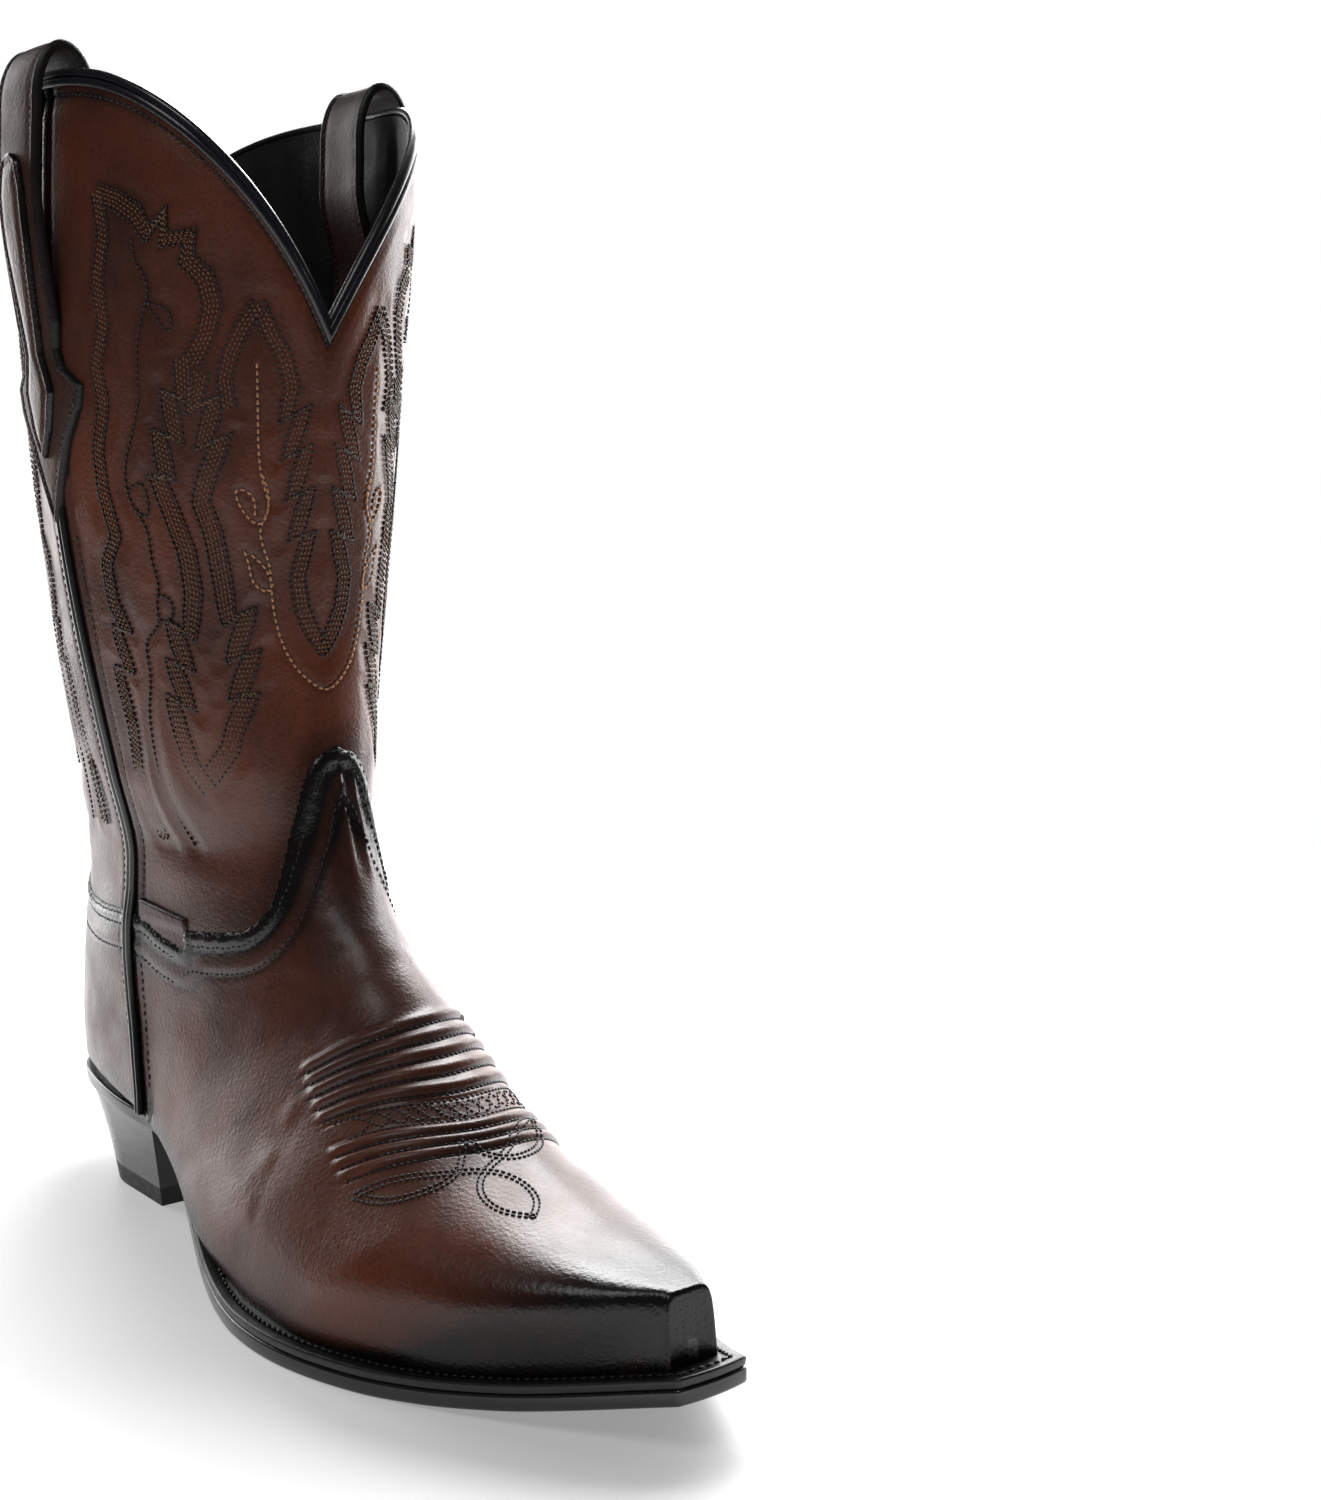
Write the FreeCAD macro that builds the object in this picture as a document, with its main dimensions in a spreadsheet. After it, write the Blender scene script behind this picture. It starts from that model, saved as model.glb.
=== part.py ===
import math
import os

import FreeCAD
import Part
import Sketcher
from FreeCAD import Placement, Vector

# A right-foot western boot, in millimetres.  +X points to the toe, +Y to the inner (medial)
# side of the foot, +Z up.  The origin is the middle of the heel's tread, on the floor.

doc = FreeCAD.newDocument("cowboy_boot")

# ---------------------------------------------------------------- driving dimensions

DIMENSIONS = [
    # alias, value
    ("leather", 1.8), ("foot_swell", 0.8), ("backing", 1.2), ("lining", 1.0),
    ("outsole_thick", 4.5), ("welt_thick", 3.0), ("insole_thick", 2.8), ("sock_thick", 1.2),
    ("welt_width", 10.0), ("rand_inset", 2.5),
    ("rim_side", 353.0), ("rim_front", 278.5), ("rim_back", 290.5), ("rim_axis", 12.0),
    ("rim_front_power", 3.2), ("rim_back_power", 4.5), ("binding_tall", 2.6), ("binding_wrap", 0.8),
    ("piping_wide", 3.0), ("piping_proud", 2.0),
    ("strap_axis", 15.0), ("strap_half", 13.5), ("strap_thick", 2.0), ("strap_gap", 6.4),
    ("strap_crest", 361.4), ("strap_tip", 221.0), ("strap_inner_end", 292.0),
    ("overlay_thick", 1.4), ("label_thick", 1.0),
    ("heel_front", 25.0), ("heel_front_top", 28.0), ("cap_tall", 6.0), ("lift_tall", 6.0),
    ("heel_radius_floor", 31.5), ("heel_centre_floor", -1.0),
    ("heel_radius_mid", 33.2), ("heel_centre_mid", -5.5), ("heel_mid", 17.0),
    ("heel_radius_top", 37.0), ("heel_centre_top", -12.0), ("heel_top", 38.0),
    ("shank_wide", 14.0), ("shank_thick", 1.4), ("shank_rear", -22.0), ("shank_front", 96.0),
    ("heel_nail_r", 1.2), ("cap_nail_r", 0.8), ("cap_nail_tall", 11.0),
    ("peg_r", 1.0), ("fit_gap", 0.05),
]

sheet = doc.addObject("Spreadsheet::Sheet", "Dimensions")
for row, (alias, value) in enumerate(DIMENSIONS, start=1):
    sheet.set(f"A{row}", alias)
    sheet.set(f"B{row}", str(value))
    sheet.setAlias(f"B{row}", alias)
doc.recompute()


def size(alias):
    return float(sheet.get(alias))


# Stations of the boot's outer form, from above the rim down the shaft, round the ankle and
# out to the toe.  Each is a closed section between a point on the front or top line and a
# point on the back or bottom line, with its half widths, fullness and widest place.
STATION_NAMES = ["top_x", "top_z", "bottom_x", "bottom_z", "lateral", "medial",
                 "centre", "top_fullness", "bottom_fullness", "widest"]
STATIONS = [
    (93.0, 375.0, -72.0, 375.0, 57.0, 57.0, 5.5, 2.0, 2.0, 0.50),
    (91.5, 320.0, -64.0, 320.0, 57.5, 58.0, 2.5, 2.0, 2.0, 0.50),
    (87.5, 250.0, -57.5, 250.0, 53.5, 54.0, -0.5, 2.0, 2.0, 0.50),
    (84.5, 190.0, -53.5, 188.0, 47.0, 47.0, -1.0, 2.0, 2.0, 0.50),
    (89.0, 152.5, -53.0, 139.5, 39.0, 39.0, -1.5, 2.0, 2.0, 0.50),
    (93.5, 129.0, -55.0, 99.5, 33.0, 34.0, -1.0, 2.0, 2.1, 0.52),
    (101.5, 111.5, -58.0, 67.0, 33.5, 34.5, -1.5, 2.0, 2.3, 0.55),
    (114.0, 98.0, -51.5, 31.5, 34.5, 36.5, -1.0, 2.0, 2.8, 0.60),
    (127.5, 87.5, -18.0, 20.0, 36.5, 39.5, -1.0, 2.0, 3.0, 0.66),
    (144.0, 74.5, 32.0, 12.0, 41.0, 41.5, -2.0, 2.1, 3.0, 0.70),
    (163.0, 59.5, 90.0, 1.5, 49.0, 43.5, -3.5, 2.2, 3.0, 0.74),
    (187.5, 48.5, 139.5, -4.5, 51.0, 42.0, -4.0, 2.4, 3.0, 0.74),
    (214.5, 41.5, 188.0, -4.5, 39.0, 33.0, -3.0, 2.9, 3.0, 0.72),
    (237.5, 38.0, 226.0, 0.0, 23.0, 21.5, -1.0, 4.0, 3.2, 0.66),
    (252.0, 36.5, 256.0, 6.0, 9.0, 10.0, 1.0, 6.0, 5.0, 0.60),
]
stations = doc.addObject("Spreadsheet::Sheet", "Stations")
for column, name in enumerate(STATION_NAMES):
    letter = "ABCDEFGHIJ"[column]
    stations.set(f"{letter}1", name)
    for row, station in enumerate(STATIONS, start=2):
        stations.set(f"{letter}{row}", str(station[column]))
doc.recompute()


# ---------------------------------------------------------------- curves

def smooth(knots, values, at):
    """A curve through the values that never overshoots them (monotone cubic)."""
    gaps = [b - a for a, b in zip(knots, knots[1:])]
    steps = [(b - a) / gap for a, b, gap in zip(values, values[1:], gaps)]
    slopes = [steps[0]]
    for before, after, left, right in zip(steps, steps[1:], gaps, gaps[1:]):
        if before * after <= 0:
            slopes.append(0.0)
        else:
            near, far = 2 * right + left, right + 2 * left
            slopes.append((near + far) / (near / before + far / after))
    slopes.append(steps[-1])
    span = 0
    while span < len(gaps) - 1 and at > knots[span + 1]:
        span += 1
    gap = gaps[span]
    t = (at - knots[span]) / gap
    return (values[span] * (1 + 2 * t) * (1 - t) ** 2 + values[span + 1] * t * t * (3 - 2 * t)
            + gap * slopes[span] * t * (1 - t) ** 2 - gap * slopes[span + 1] * t * t * (1 - t))


def through(points, start=None, end=None):
    """A B-spline edge through points, with optional directions at its ends."""
    curve = Part.BSplineCurve()
    if start is None:
        curve.interpolate(points)
    else:
        curve.interpolate(Points=points, InitialTangent=start, FinalTangent=end)
    return curve.toShape()


def joined(edges):
    """A closed wire of several edges, with straight lines where their ends are apart."""
    closing = []
    for one, two in zip(edges, edges[1:] + edges[:1]):
        start = one.Vertexes[-1].Point
        end = two.Vertexes[0].Point
        closing.append(one)
        if start.distanceToPoint(end) > 1e-6:
            closing.append(Part.makeLine(start, end))
    return Part.Wire(closing)


DEEP = 90.0     # half depth of the side-view cutters, past the widest place of the boot


def side_prism(edges):
    """A side-view outline, drawn in the XZ plane, pushed right through the boot."""
    wire = joined(edges)
    wire.translate(Vector(0, -DEEP, 0))
    return Part.Face(wire).extrude(Vector(0, 2 * DEEP, 0))


def xz(points):
    return [Vector(x, 0, z) for x, z in points]


def polyline(points):
    return Part.makePolygon(points).Edges


# ---------------------------------------------------------------- the boot's form

AROUND = 8      # points on a quarter of a section


def station_at(place):
    """The station at a fractional place in the table, 0 at the top and 14 at the toe."""
    count = len(STATIONS)
    columns = []
    for letter in "ABCDEFGHIJ":
        values = [float(stations.get(f"{letter}{row}")) for row in range(2, count + 2)]
        columns.append(smooth(list(range(count)), values, place))
    return columns


STATION_STEPS = 2
FORM_STATIONS = [station_at(index / STATION_STEPS)
                 for index in range((len(STATIONS) - 1) * STATION_STEPS + 1)]


def section_points(station, inset):
    """Points round one section, inset from the outer surface, from the top line round."""
    top_x, top_z, bottom_x, bottom_z, lateral, medial, centre = station[:7]
    top_full, bottom_full, widest = station[7:]
    length = math.hypot(top_x - bottom_x, top_z - bottom_z)
    along = Vector((bottom_x - top_x) / length, 0, (bottom_z - top_z) / length)
    top = Vector(top_x, centre, top_z) + along * inset
    length -= 2 * inset
    down = []
    for index in range(AROUND + 1):
        angle = math.pi / 2 * index / AROUND
        down.append((widest - widest * math.cos(angle) ** (2 / top_full),
                     math.sin(angle) ** (2 / top_full)))
    for index in range(1, AROUND + 1):
        angle = math.pi / 2 * (1 - index / AROUND)
        down.append((widest + (1 - widest) * max(math.cos(angle), 0) ** (2 / bottom_full),
                     max(math.sin(angle), 0) ** (2 / bottom_full)))
    down[0] = (0.0, 0.0)
    down[-1] = (1.0, 0.0)
    outer_half = [top + along * (length * c) - Vector(0, (lateral - inset) * w, 0) for c, w in down]
    inner_half = [top + along * (length * c) + Vector(0, (medial - inset) * w, 0) for c, w in down]
    return outer_half + inner_half[-2:0:-1]


form_cache = {}


def form(inset):
    """The solid inside the boot's outer surface moved inwards by inset."""
    if inset in form_cache:
        return form_cache[inset]
    wires = []
    for index, station in enumerate(FORM_STATIONS):
        points = section_points(station, inset)
        if index == 0:
            points = [point + Vector(0, 0, inset) for point in points]
        if index == len(FORM_STATIONS) - 1:
            points = [point - Vector(inset, 0, 0) for point in points]
        half = len(points) // 2
        crown = (points[1] - points[-1]) * 0.5
        keel = (points[half + 1] - points[half - 1]) * 0.5
        numbers = [float(n) for n in range(half + 1)]
        outer_edge = Part.BSplineCurve()
        outer_edge.interpolate(Points=points[:half + 1], Parameters=numbers,
                               InitialTangent=crown, FinalTangent=keel)
        inner_edge = Part.BSplineCurve()
        inner_edge.interpolate(Points=points[half:] + points[:1], Parameters=numbers,
                               InitialTangent=keel, FinalTangent=crown)
        wires.append(Part.Wire([outer_edge.toShape(), inner_edge.toShape()]))
    solid = Part.makeLoft(wires, True, False)
    form_cache[inset] = solid
    return solid


def skin(outer, inner, within=(), without=()):
    """The layer between two insets of the form, inside some regions and outside others."""
    solid = form(outer)
    for region in within:
        solid = solid.common(region)
    for region in without:
        solid = solid.cut(region)
    return solid.cut(form(inner))


def half_breadth(x, z, medial, inset=0.0):
    """The y of the form at a place in side view, found on the station line through it."""
    low, high = 0.0, 12.0
    for _ in range(30):
        place = (low + high) / 2
        top_x, top_z, bottom_x, bottom_z = station_at_cached(place)[:4]
        height = top_z + (bottom_z - top_z) * (x - top_x) / (bottom_x - top_x)
        if height > z:
            low = place
        else:
            high = place
    station = station_at_cached((low + high) / 2)
    top_x, top_z, bottom_x, bottom_z, lateral, inner, centre = station[:7]
    top_full, bottom_full, widest = station[7:]
    length = math.hypot(top_x - bottom_x, top_z - bottom_z)
    share = (math.hypot(x - top_x, z - top_z) - inset) / (length - 2 * inset)
    share = min(max(share, 0.0), 1.0)
    if share in (0.0, 1.0):
        return centre
    if share < widest:
        wide = (1 - ((widest - share) / widest) ** top_full) ** (1 / top_full)
    else:
        wide = (1 - ((share - widest) / (1 - widest)) ** bottom_full) ** (1 / bottom_full)
    return centre + (inner - inset) * wide if medial else centre - (lateral - inset) * wide


PLACE_STEP = 0.05
station_cache = {}


def station_at_cached(place):
    """The station at a place, read between close steps of the table's smooth curves."""
    index = int(place / PLACE_STEP)
    for number in (index, index + 1):
        if number not in station_cache:
            station_cache[number] = station_at(number * PLACE_STEP)
    share = place / PLACE_STEP - index
    near, far = station_cache[index], station_cache[index + 1]
    return [one + (two - one) * share for one, two in zip(near, far)]


def ends_at_height(z, inset=0.0):
    """The x of the form's front and back lines at a height."""
    ends = []
    for column in (0, 2):
        low, high = 0.0, 8.0
        for _ in range(30):
            place = (low + high) / 2
            if station_at_cached(place)[column + 1] > z:
                low = place
            else:
                high = place
        ends.append(station_at_cached((low + high) / 2)[column])
    return ends[0] - inset, ends[1] + inset


def shaft_point(angle, z, medial, inset, axis_x):
    """The point of the form at an angle round an upright axis, from straight ahead, and a height."""
    front, back = ends_at_height(z, inset)
    middle = half_breadth(front, z, medial, inset)
    low, high = back, front
    for _ in range(26):
        x = (low + high) / 2
        y = half_breadth(x, z, medial, inset) - middle
        if math.degrees(math.atan2(abs(y), x - axis_x)) > angle:
            low = x
        else:
            high = x
    if angle < 0.01 or angle > 179.99:
        return Vector(front if angle < 90 else back, middle, z)
    x = (low + high) / 2
    return Vector(x, half_breadth(x, z, medial, inset), z)


def surface_through(grid):
    surface = Part.BSplineSurface()
    surface.interpolate(grid)
    return surface


def thick_patch(outer_grid, inner_grid):
    """A closed panel between two matching grids of points."""
    outer, inner = surface_through(outer_grid), surface_through(inner_grid)
    faces = [outer.toShape(), inner.toShape()]
    u_low, u_high, v_low, v_high = outer.bounds()
    a_low, a_high, b_low, b_high = inner.bounds()
    borders = ((outer.vIso(v_low), inner.vIso(b_low)), (outer.vIso(v_high), inner.vIso(b_high)),
               (outer.uIso(u_low), inner.uIso(a_low)), (outer.uIso(u_high), inner.uIso(a_high)))
    for one, two in borders:
        faces.append(Part.makeRuledSurface(one.toShape(), two.toShape()))
    sewn = Part.makeCompound(faces)
    sewn.sewShape()
    solid = Part.makeSolid(sewn.Shells[0] if sewn.ShapeType != "Shell" else sewn)
    if solid.Volume < 0:
        solid.reverse()
    return solid


# ---------------------------------------------------------------- cutting lines

# the outsole's lower face in side view: heel seat, shank, flat tread and toe spring
SEAT_LINE = xz([(-62, 35.4), (-50, 34.0), (-20, 30.6), (10, 28.0), (28, 26.6), (45, 23.4), (60, 18.6),
                (75, 12.8), (90, 7.2), (105, 2.9), (118, 0.8), (130, 0.0)])
SPRING_LINE = xz([(182, 0.0), (200, 0.8), (220, 3.2), (240, 7.2), (264, 13.2), (280, 17.6)])


def sole_line(raised):
    """The edges of the side-view sole line, raised by a layer's height."""
    lift = Vector(0, 0, raised)
    seat = [point + lift for point in SEAT_LINE]
    spring = [point + lift for point in SPRING_LINE]
    return [through(seat, Vector(12, 0, -1.2), Vector(14, 0, 0)), Part.makeLine(seat[-1], spring[0]),
            through(spring, Vector(18, 0, 0), Vector(16, 0, 4.4))]


HIGH = 420.0


def above_sole(raised):
    """Everything above the sole line raised by a layer's height."""
    edges = sole_line(raised)
    start, end = edges[0].Vertexes[0].Point, edges[-1].Vertexes[-1].Point
    corners = polyline([end, Vector(end.x, 0, HIGH), Vector(start.x, 0, HIGH), start])
    wire = Part.Wire(edges + corners)
    wire.translate(Vector(0, -DEEP, 0))
    return Part.Face(wire).extrude(Vector(0, 2 * DEEP, 0))


def layer(low, high):
    """The curved layer of the sole between two heights above the sole line."""
    return above_sole(low).cut(above_sole(high))


# the side seam in side view, from above the rim to below the sole
SEAM_LINE = [(13, 400), (14, 330), (15, 260), (17, 215), (20, 168), (20.5, 138), (18.5, 108),
             (17.5, 88), (19, 70), (23, 54), (28, 40), (34, 24)]


def ahead_of_seam(shift):
    """Everything ahead of the side seam moved forward by shift."""
    points = xz([(x + shift, z) for x, z in SEAM_LINE])
    corners = polyline([points[-1], Vector(points[-1].x, 0, -40), Vector(300, 0, -40),
                        Vector(300, 0, 400), points[0]])
    wire = Part.Wire([through(points)] + corners)
    wire.translate(Vector(0, -DEEP, 0))
    return Part.Face(wire).extrude(Vector(0, 2 * DEEP, 0))


HUB, REACH, SWEEP_STEPS = 4.0, 130.0, 22


def above_line(height, axis_x):
    """Everything above a line whose height is a function of the angle from straight ahead."""
    halves = []
    for side in (-1, 1):
        rings = []
        for radius in (HUB, REACH):
            points = []
            for index in range(SWEEP_STEPS + 1):
                share = index / SWEEP_STEPS
                angle = math.pi * (share - 0.09 * math.sin(2 * math.pi * share))
                along, across = radius * math.cos(angle), side * radius * math.sin(angle)
                points.append(Vector(axis_x + along, across, height(math.degrees(angle))))
            rings.append(through(points))
        sheet_face = Part.makeRuledSurface(rings[0], rings[1])
        halves.append(sheet_face.extrude(Vector(0, 0, 200)))
    return halves[0].fuse(halves[1])


def rim_height(angle, raised=0.0):
    """The rim dips to a sharp V in front and behind and peaks under the pull straps."""
    if angle < 90:
        dip, power, share = size("rim_front"), size("rim_front_power"), angle / 90
    else:
        dip, power, share = size("rim_back"), size("rim_back_power"), (180 - angle) / 90
    return size("rim_side") - (size("rim_side") - dip) * (1 - share) ** power + raised


COLLAR_AXIS = 18.0
# the collar where the vamp and counter cover meet the shaft: low along both sides, rising to
# a tongue in front and to a pointed peak behind
COLLAR_SIDE = [(-90, 106), (-62, 106), (-50, 105.5), (-42, 102.5), (-27, 98.2), (-8, 96.8),
               (14, 97.6), (26, 97.2), (39, 93.6), (53, 91.8), (64, 93.6), (74, 98.2), (84, 103.5),
               (96, 106), (130, 106)]
TONGUE = [(33, 97), (26.5, 100.5), (22, 108), (17.8, 121), (14.4, 135), (11.5, 146), (7, 153.2),
          (0, 156)]
PEAK = [(30, 98), (20, 103.8), (13.2, 112), (8.6, 124), (4, 135), (0, 139.5)]


def collar_at(angle, medial):
    """The collar's height at an angle round the shaft."""
    height = 98.0
    for _ in range(12):
        spot = shaft_point(angle, height, medial, 0.0, COLLAR_AXIS)
        x, across = spot.x, abs(spot.y)
        side = smooth([at for at, _ in COLLAR_SIDE], [z for _, z in COLLAR_SIDE], x)
        peak = TONGUE if angle < 90 else PEAK
        if across < peak[0][0]:
            widths = [y for y, _ in reversed(peak)]
            side = max(side, smooth(widths, [z for _, z in reversed(peak)], across))
        height += (side - height) * 0.6
    return height


def upright_prism(half_outline, x_low, x_high):
    """A front-view outline, the same both sides of the middle, pushed along the boot."""
    right = [Vector(x_low, y, z) for y, z in half_outline]
    left = [Vector(x_low, -y, z) for y, z in reversed(half_outline[:-1])]
    edge = through(right + left)
    base = [Vector(x_low, y, 60) for y in (-half_outline[0][0], half_outline[0][0])]
    wire = Part.Wire([edge] + polyline([left[-1]] + base + [right[0]]))
    return Part.Face(wire).extrude(Vector(x_high - x_low, 0, 0))


def below_collar():
    """Everything below the collar line: the two sides, the toe end, the tongue and the peak."""
    points = xz(COLLAR_SIDE)
    corners = polyline([points[-1], Vector(points[-1].x, 0, -30), Vector(300, 0, -30),
                        Vector(300, 0, -60), Vector(-90, 0, -60), points[0]])
    wire = Part.Wire([through(points)] + corners)
    wire.translate(Vector(0, -DEEP, 0))
    sides = Part.Face(wire).extrude(Vector(0, 2 * DEEP, 0))
    toe_end = Part.makeBox(180, 2 * DEEP, 130, Vector(points[-1].x, -DEEP, -30))
    tongue = upright_prism(TONGUE, 40, 125)
    peak = upright_prism(PEAK, -90, -20)
    return sides.fuse([toe_end, tongue, peak])


feather = size("outsole_thick") + size("welt_thick")
ABOVE_FEATHER = above_sole(feather)
ABOVE_RIM = above_line(rim_height, size("rim_axis"))
BELOW_COLLAR = below_collar()
half_piping = size("piping_wide") / 2
AHEAD = ahead_of_seam(half_piping)
AHEAD_OF_BAND = ahead_of_seam(-half_piping)
AHEAD_LINING = ahead_of_seam(0.0)


def half_space(x_low, x_high):
    """A box as tall and deep as the boot between two places along it."""
    return Part.makeBox(x_high - x_low, 2 * DEEP, HIGH + 20, Vector(x_low, -DEEP, -20))


made = []


def node(name, shape):
    """Add a finished shape to the document as a named sub-part."""
    solids = shape.Solids
    largest = max(solid.Volume for solid in solids)
    kept = [solid for solid in solids if solid.Volume > 0.02 * largest]
    feature = doc.addObject("Part::Feature", name)
    feature.Shape = kept[0] if len(kept) == 1 else Part.makeCompound(kept)
    feature.Placement = Placement()
    feature.Label = name
    made.append(feature)
    return feature


# ---------------------------------------------------------------- uppers

leather = size("leather")
swell = size("foot_swell")
backing = leather + size("backing")
foot_lining = backing + size("lining")
shaft_lining = leather + size("lining")

FOOT = (ABOVE_FEATHER, BELOW_COLLAR)
node("vamp", skin(-swell, leather, FOOT + (AHEAD,)))
node("counter_cover", skin(-swell, leather, FOOT, (AHEAD_OF_BAND,)))


def seam_angle(z, medial, inset, behind):
    """The angle round the shaft at which a panel meets the side seam."""
    x = smooth([-h for _, h in SEAM_LINE], [at for at, _ in SEAM_LINE], -z) + behind
    middle = half_breadth(ends_at_height(z, inset)[0], z, medial, inset)
    across = abs(half_breadth(x, z, medial, inset) - middle)
    return math.degrees(math.atan2(across, x - COLLAR_AXIS))


def shaft_panel(outer, inner, front, seam_gap, foot_of, head_of, rows):
    """A panel of the shaft from seam to seam through the front or the back, between two lines."""
    grids = []
    across = 18
    for inset in (outer, inner):
        grid = []
        for column in range(2 * across + 1):
            medial = column > across
            share = abs(column - across) / across
            line = []
            for row in range(rows + 1):
                rise = row / rows
                angle_guess = 90.0 * share if front else 180.0 - 90.0 * share
                for _ in range(3):
                    low, high = foot_of(angle_guess, medial), head_of(angle_guess)
                    z = low + (high - low) * rise
                    edge = seam_angle(z, medial, inset, seam_gap if front else -seam_gap)
                    angle_guess = edge * share if front else 180.0 - (180.0 - edge) * share
                line.append(shaft_point(angle_guess, z, medial, inset, COLLAR_AXIS))
            grid.append(line)
        grids.append(grid)
    return thick_patch(*grids)


ABOVE_FOOT = size("fit_gap")
collar_cache = {}


def collar_foot(angle, medial):
    """The collar's height, a fit gap up, read between whole degrees."""
    heights = []
    for degree in (int(angle), min(int(angle) + 1, 180)):
        key = (degree, medial)
        if key not in collar_cache:
            collar_cache[key] = collar_at(min(max(degree, 0.4), 179.6), medial) + ABOVE_FOOT
        heights.append(collar_cache[key])
    return heights[0] + (heights[1] - heights[0]) * (angle - int(angle))


def below_rim(angle):
    return rim_height(angle, -size("fit_gap"))


SHAFT_ROWS = 10
SHAFT_LAYERS = (("", 0.0, leather, half_piping + size("fit_gap")),
                ("_lining", leather + size("fit_gap"), shaft_lining, size("fit_gap")))
for name, outer, inner, seam_gap in SHAFT_LAYERS:
    for place, front in (("shaft_front", True), ("shaft_back", False)):
        node(place + name,
             shaft_panel(outer, inner, front, seam_gap, collar_foot, below_rim, SHAFT_ROWS))

TOE_PUFF_REAR = 206.0
toe_end = half_space(TOE_PUFF_REAR, 300)
rest_of_foot = half_space(-100, TOE_PUFF_REAR - size("fit_gap"))
node("toe_puff", skin(leather, backing, (ABOVE_FEATHER, toe_end)))
node("vamp_interlining", skin(leather, backing, FOOT + (AHEAD_LINING, rest_of_foot)))
node("heel_counter", skin(leather, backing, FOOT, (AHEAD_LINING,)))
node("vamp_lining", skin(backing, foot_lining, FOOT + (AHEAD_LINING,)))
node("heel_lining", skin(backing, foot_lining, FOOT, (AHEAD_LINING,)))
# the corded side seams: proud below the straps, flush beneath them
PIPING_TOP = size("strap_tip") - 1.0
seam_band = AHEAD_OF_BAND.cut(AHEAD)
above_strap_tip = Part.makeBox(400, 2 * DEEP, HIGH, Vector(-100, -DEEP, PIPING_TOP))
for name, low_y in (("side_piping_lateral", -DEEP), ("side_piping_medial", 0.0)):
    half = Part.makeBox(400, DEEP, HIGH, Vector(-100, low_y, 0))
    cord = skin(-size("piping_proud"), leather, (seam_band, ABOVE_FEATHER, half), (above_strap_tip,))
    flat_seam = skin(0.0, leather, (seam_band, above_strap_tip, half), (ABOVE_RIM,))
    node(name, cord.fuse(flat_seam))

wrap = size("binding_wrap")
for name, front in (("top_binding_front", True), ("top_binding_back", False)):
    node(name, shaft_panel(-wrap, shaft_lining + wrap, front, size("fit_gap"),
                           lambda angle, medial: rim_height(angle),
                           lambda angle: rim_height(angle, size("binding_tall")), 3))


# ---------------------------------------------------------------- pull straps

strap_axis = size("strap_axis")
strap_half = size("strap_half")
strap_thick = size("strap_thick")
STRAP_REST, STRAP_FREE = 262.0, 330.0       # the outer leg lies on the shaft below the first height


def leg_gap(z, closed, opened):
    """How far a leg stands off, growing smoothly from nothing to the finger gap."""
    share = min(1.0, max(0.0, (z - closed) / (opened - closed)))
    return 0.3 + (size("strap_gap") - 0.3) * share * share * (3 - 2 * share)


def strap_path(x, medial, stand, layer_top=None):
    """The YZ path of the strap's face that stands off the shaft by stand, at a place x."""
    out = 1 if medial else -1
    base = half_breadth(x, size("rim_side"), medial)
    outer = []
    for z in (size("strap_tip") - 4, 236, 250, STRAP_REST, 282, 300, 316, STRAP_FREE, 344):
        depth = leg_gap(z, STRAP_REST, STRAP_FREE) + stand
        outer.append(Vector(x, half_breadth(x, z, medial) + out * depth, z))
    inner = []
    inside = shaft_lining + size("binding_wrap")
    for z in (344, STRAP_FREE, 316, 304, size("strap_inner_end") - 3):
        clear = leg_gap(z, 300, STRAP_FREE)
        share = clear / size("strap_gap")
        depth = shaft_lining + (inside - shaft_lining) * share + clear + stand
        inner.append(Vector(x, half_breadth(x, z, medial) - out * depth, z))
    half_span = (outer[-1] - inner[0]).Length / 2
    middle = (outer[-1] + inner[0]) * 0.5
    rise = size("strap_crest") + stand - middle.z
    arch = []
    for degrees in (30, 60, 90, 120, 150):
        angle = math.radians(degrees)
        arch.append(middle + Vector(0, out * half_span * math.cos(angle), rise * math.sin(angle)))
    return outer, arch, inner


def strap_wire(x, medial):
    near = strap_path(x, medial, 0.0)
    far = strap_path(x, medial, strap_thick)
    inner_face = through(near[0] + near[1] + near[2])
    outer_face = through((far[0] + far[1] + far[2])[::-1])
    return joined([inner_face, outer_face])


# half widths of the strap and of its overlay in side view, from the top down
STRAP_OUTLINE = [(1.0, 400), (1.0, 282), (0.87, 274), (1.0, 268.5), (1.62, 263), (1.48, 256),
                 (0.95, 246), (0.4, 231), (0.06, 221.2)]
OVERLAY_OUTLINE = [(0.05, 331.5), (0.42, 328.5), (0.6, 320), (0.6, 306), (0.46, 286),
                   (0.38, 273), (0.66, 261.5), (0.42, 250), (0.05, 241.5)]


def strap_outline(half_widths):
    """A symmetrical side-view outline about the strap's axis."""
    front = xz([(strap_axis + strap_half * share, z) for share, z in half_widths])
    rear = xz([(strap_axis - strap_half * share, z) for share, z in reversed(half_widths)])
    wire = Part.makePolygon(front + rear + front[:1])
    wire.translate(Vector(0, -DEEP, 0))
    return Part.Face(wire).extrude(Vector(0, 2 * DEEP, 0))


STRAP_STATIONS = [strap_axis + strap_half * share for share in (-1.8, -0.9, 0.0, 0.9, 1.8)]
for name, medial in (("pull_strap_lateral", False), ("pull_strap_medial", True)):
    strap = Part.makeLoft([strap_wire(x, medial) for x in STRAP_STATIONS], True, False)
    node(name, strap.common(strap_outline(STRAP_OUTLINE)))


def overlay_wire(x, medial):
    edges = []
    for stand in (strap_thick + size("fit_gap"), strap_thick + size("overlay_thick")):
        points = strap_path(x, medial, stand)[0]
        edges.append(through(points if not edges else points[::-1]))
    return joined(edges)


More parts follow.
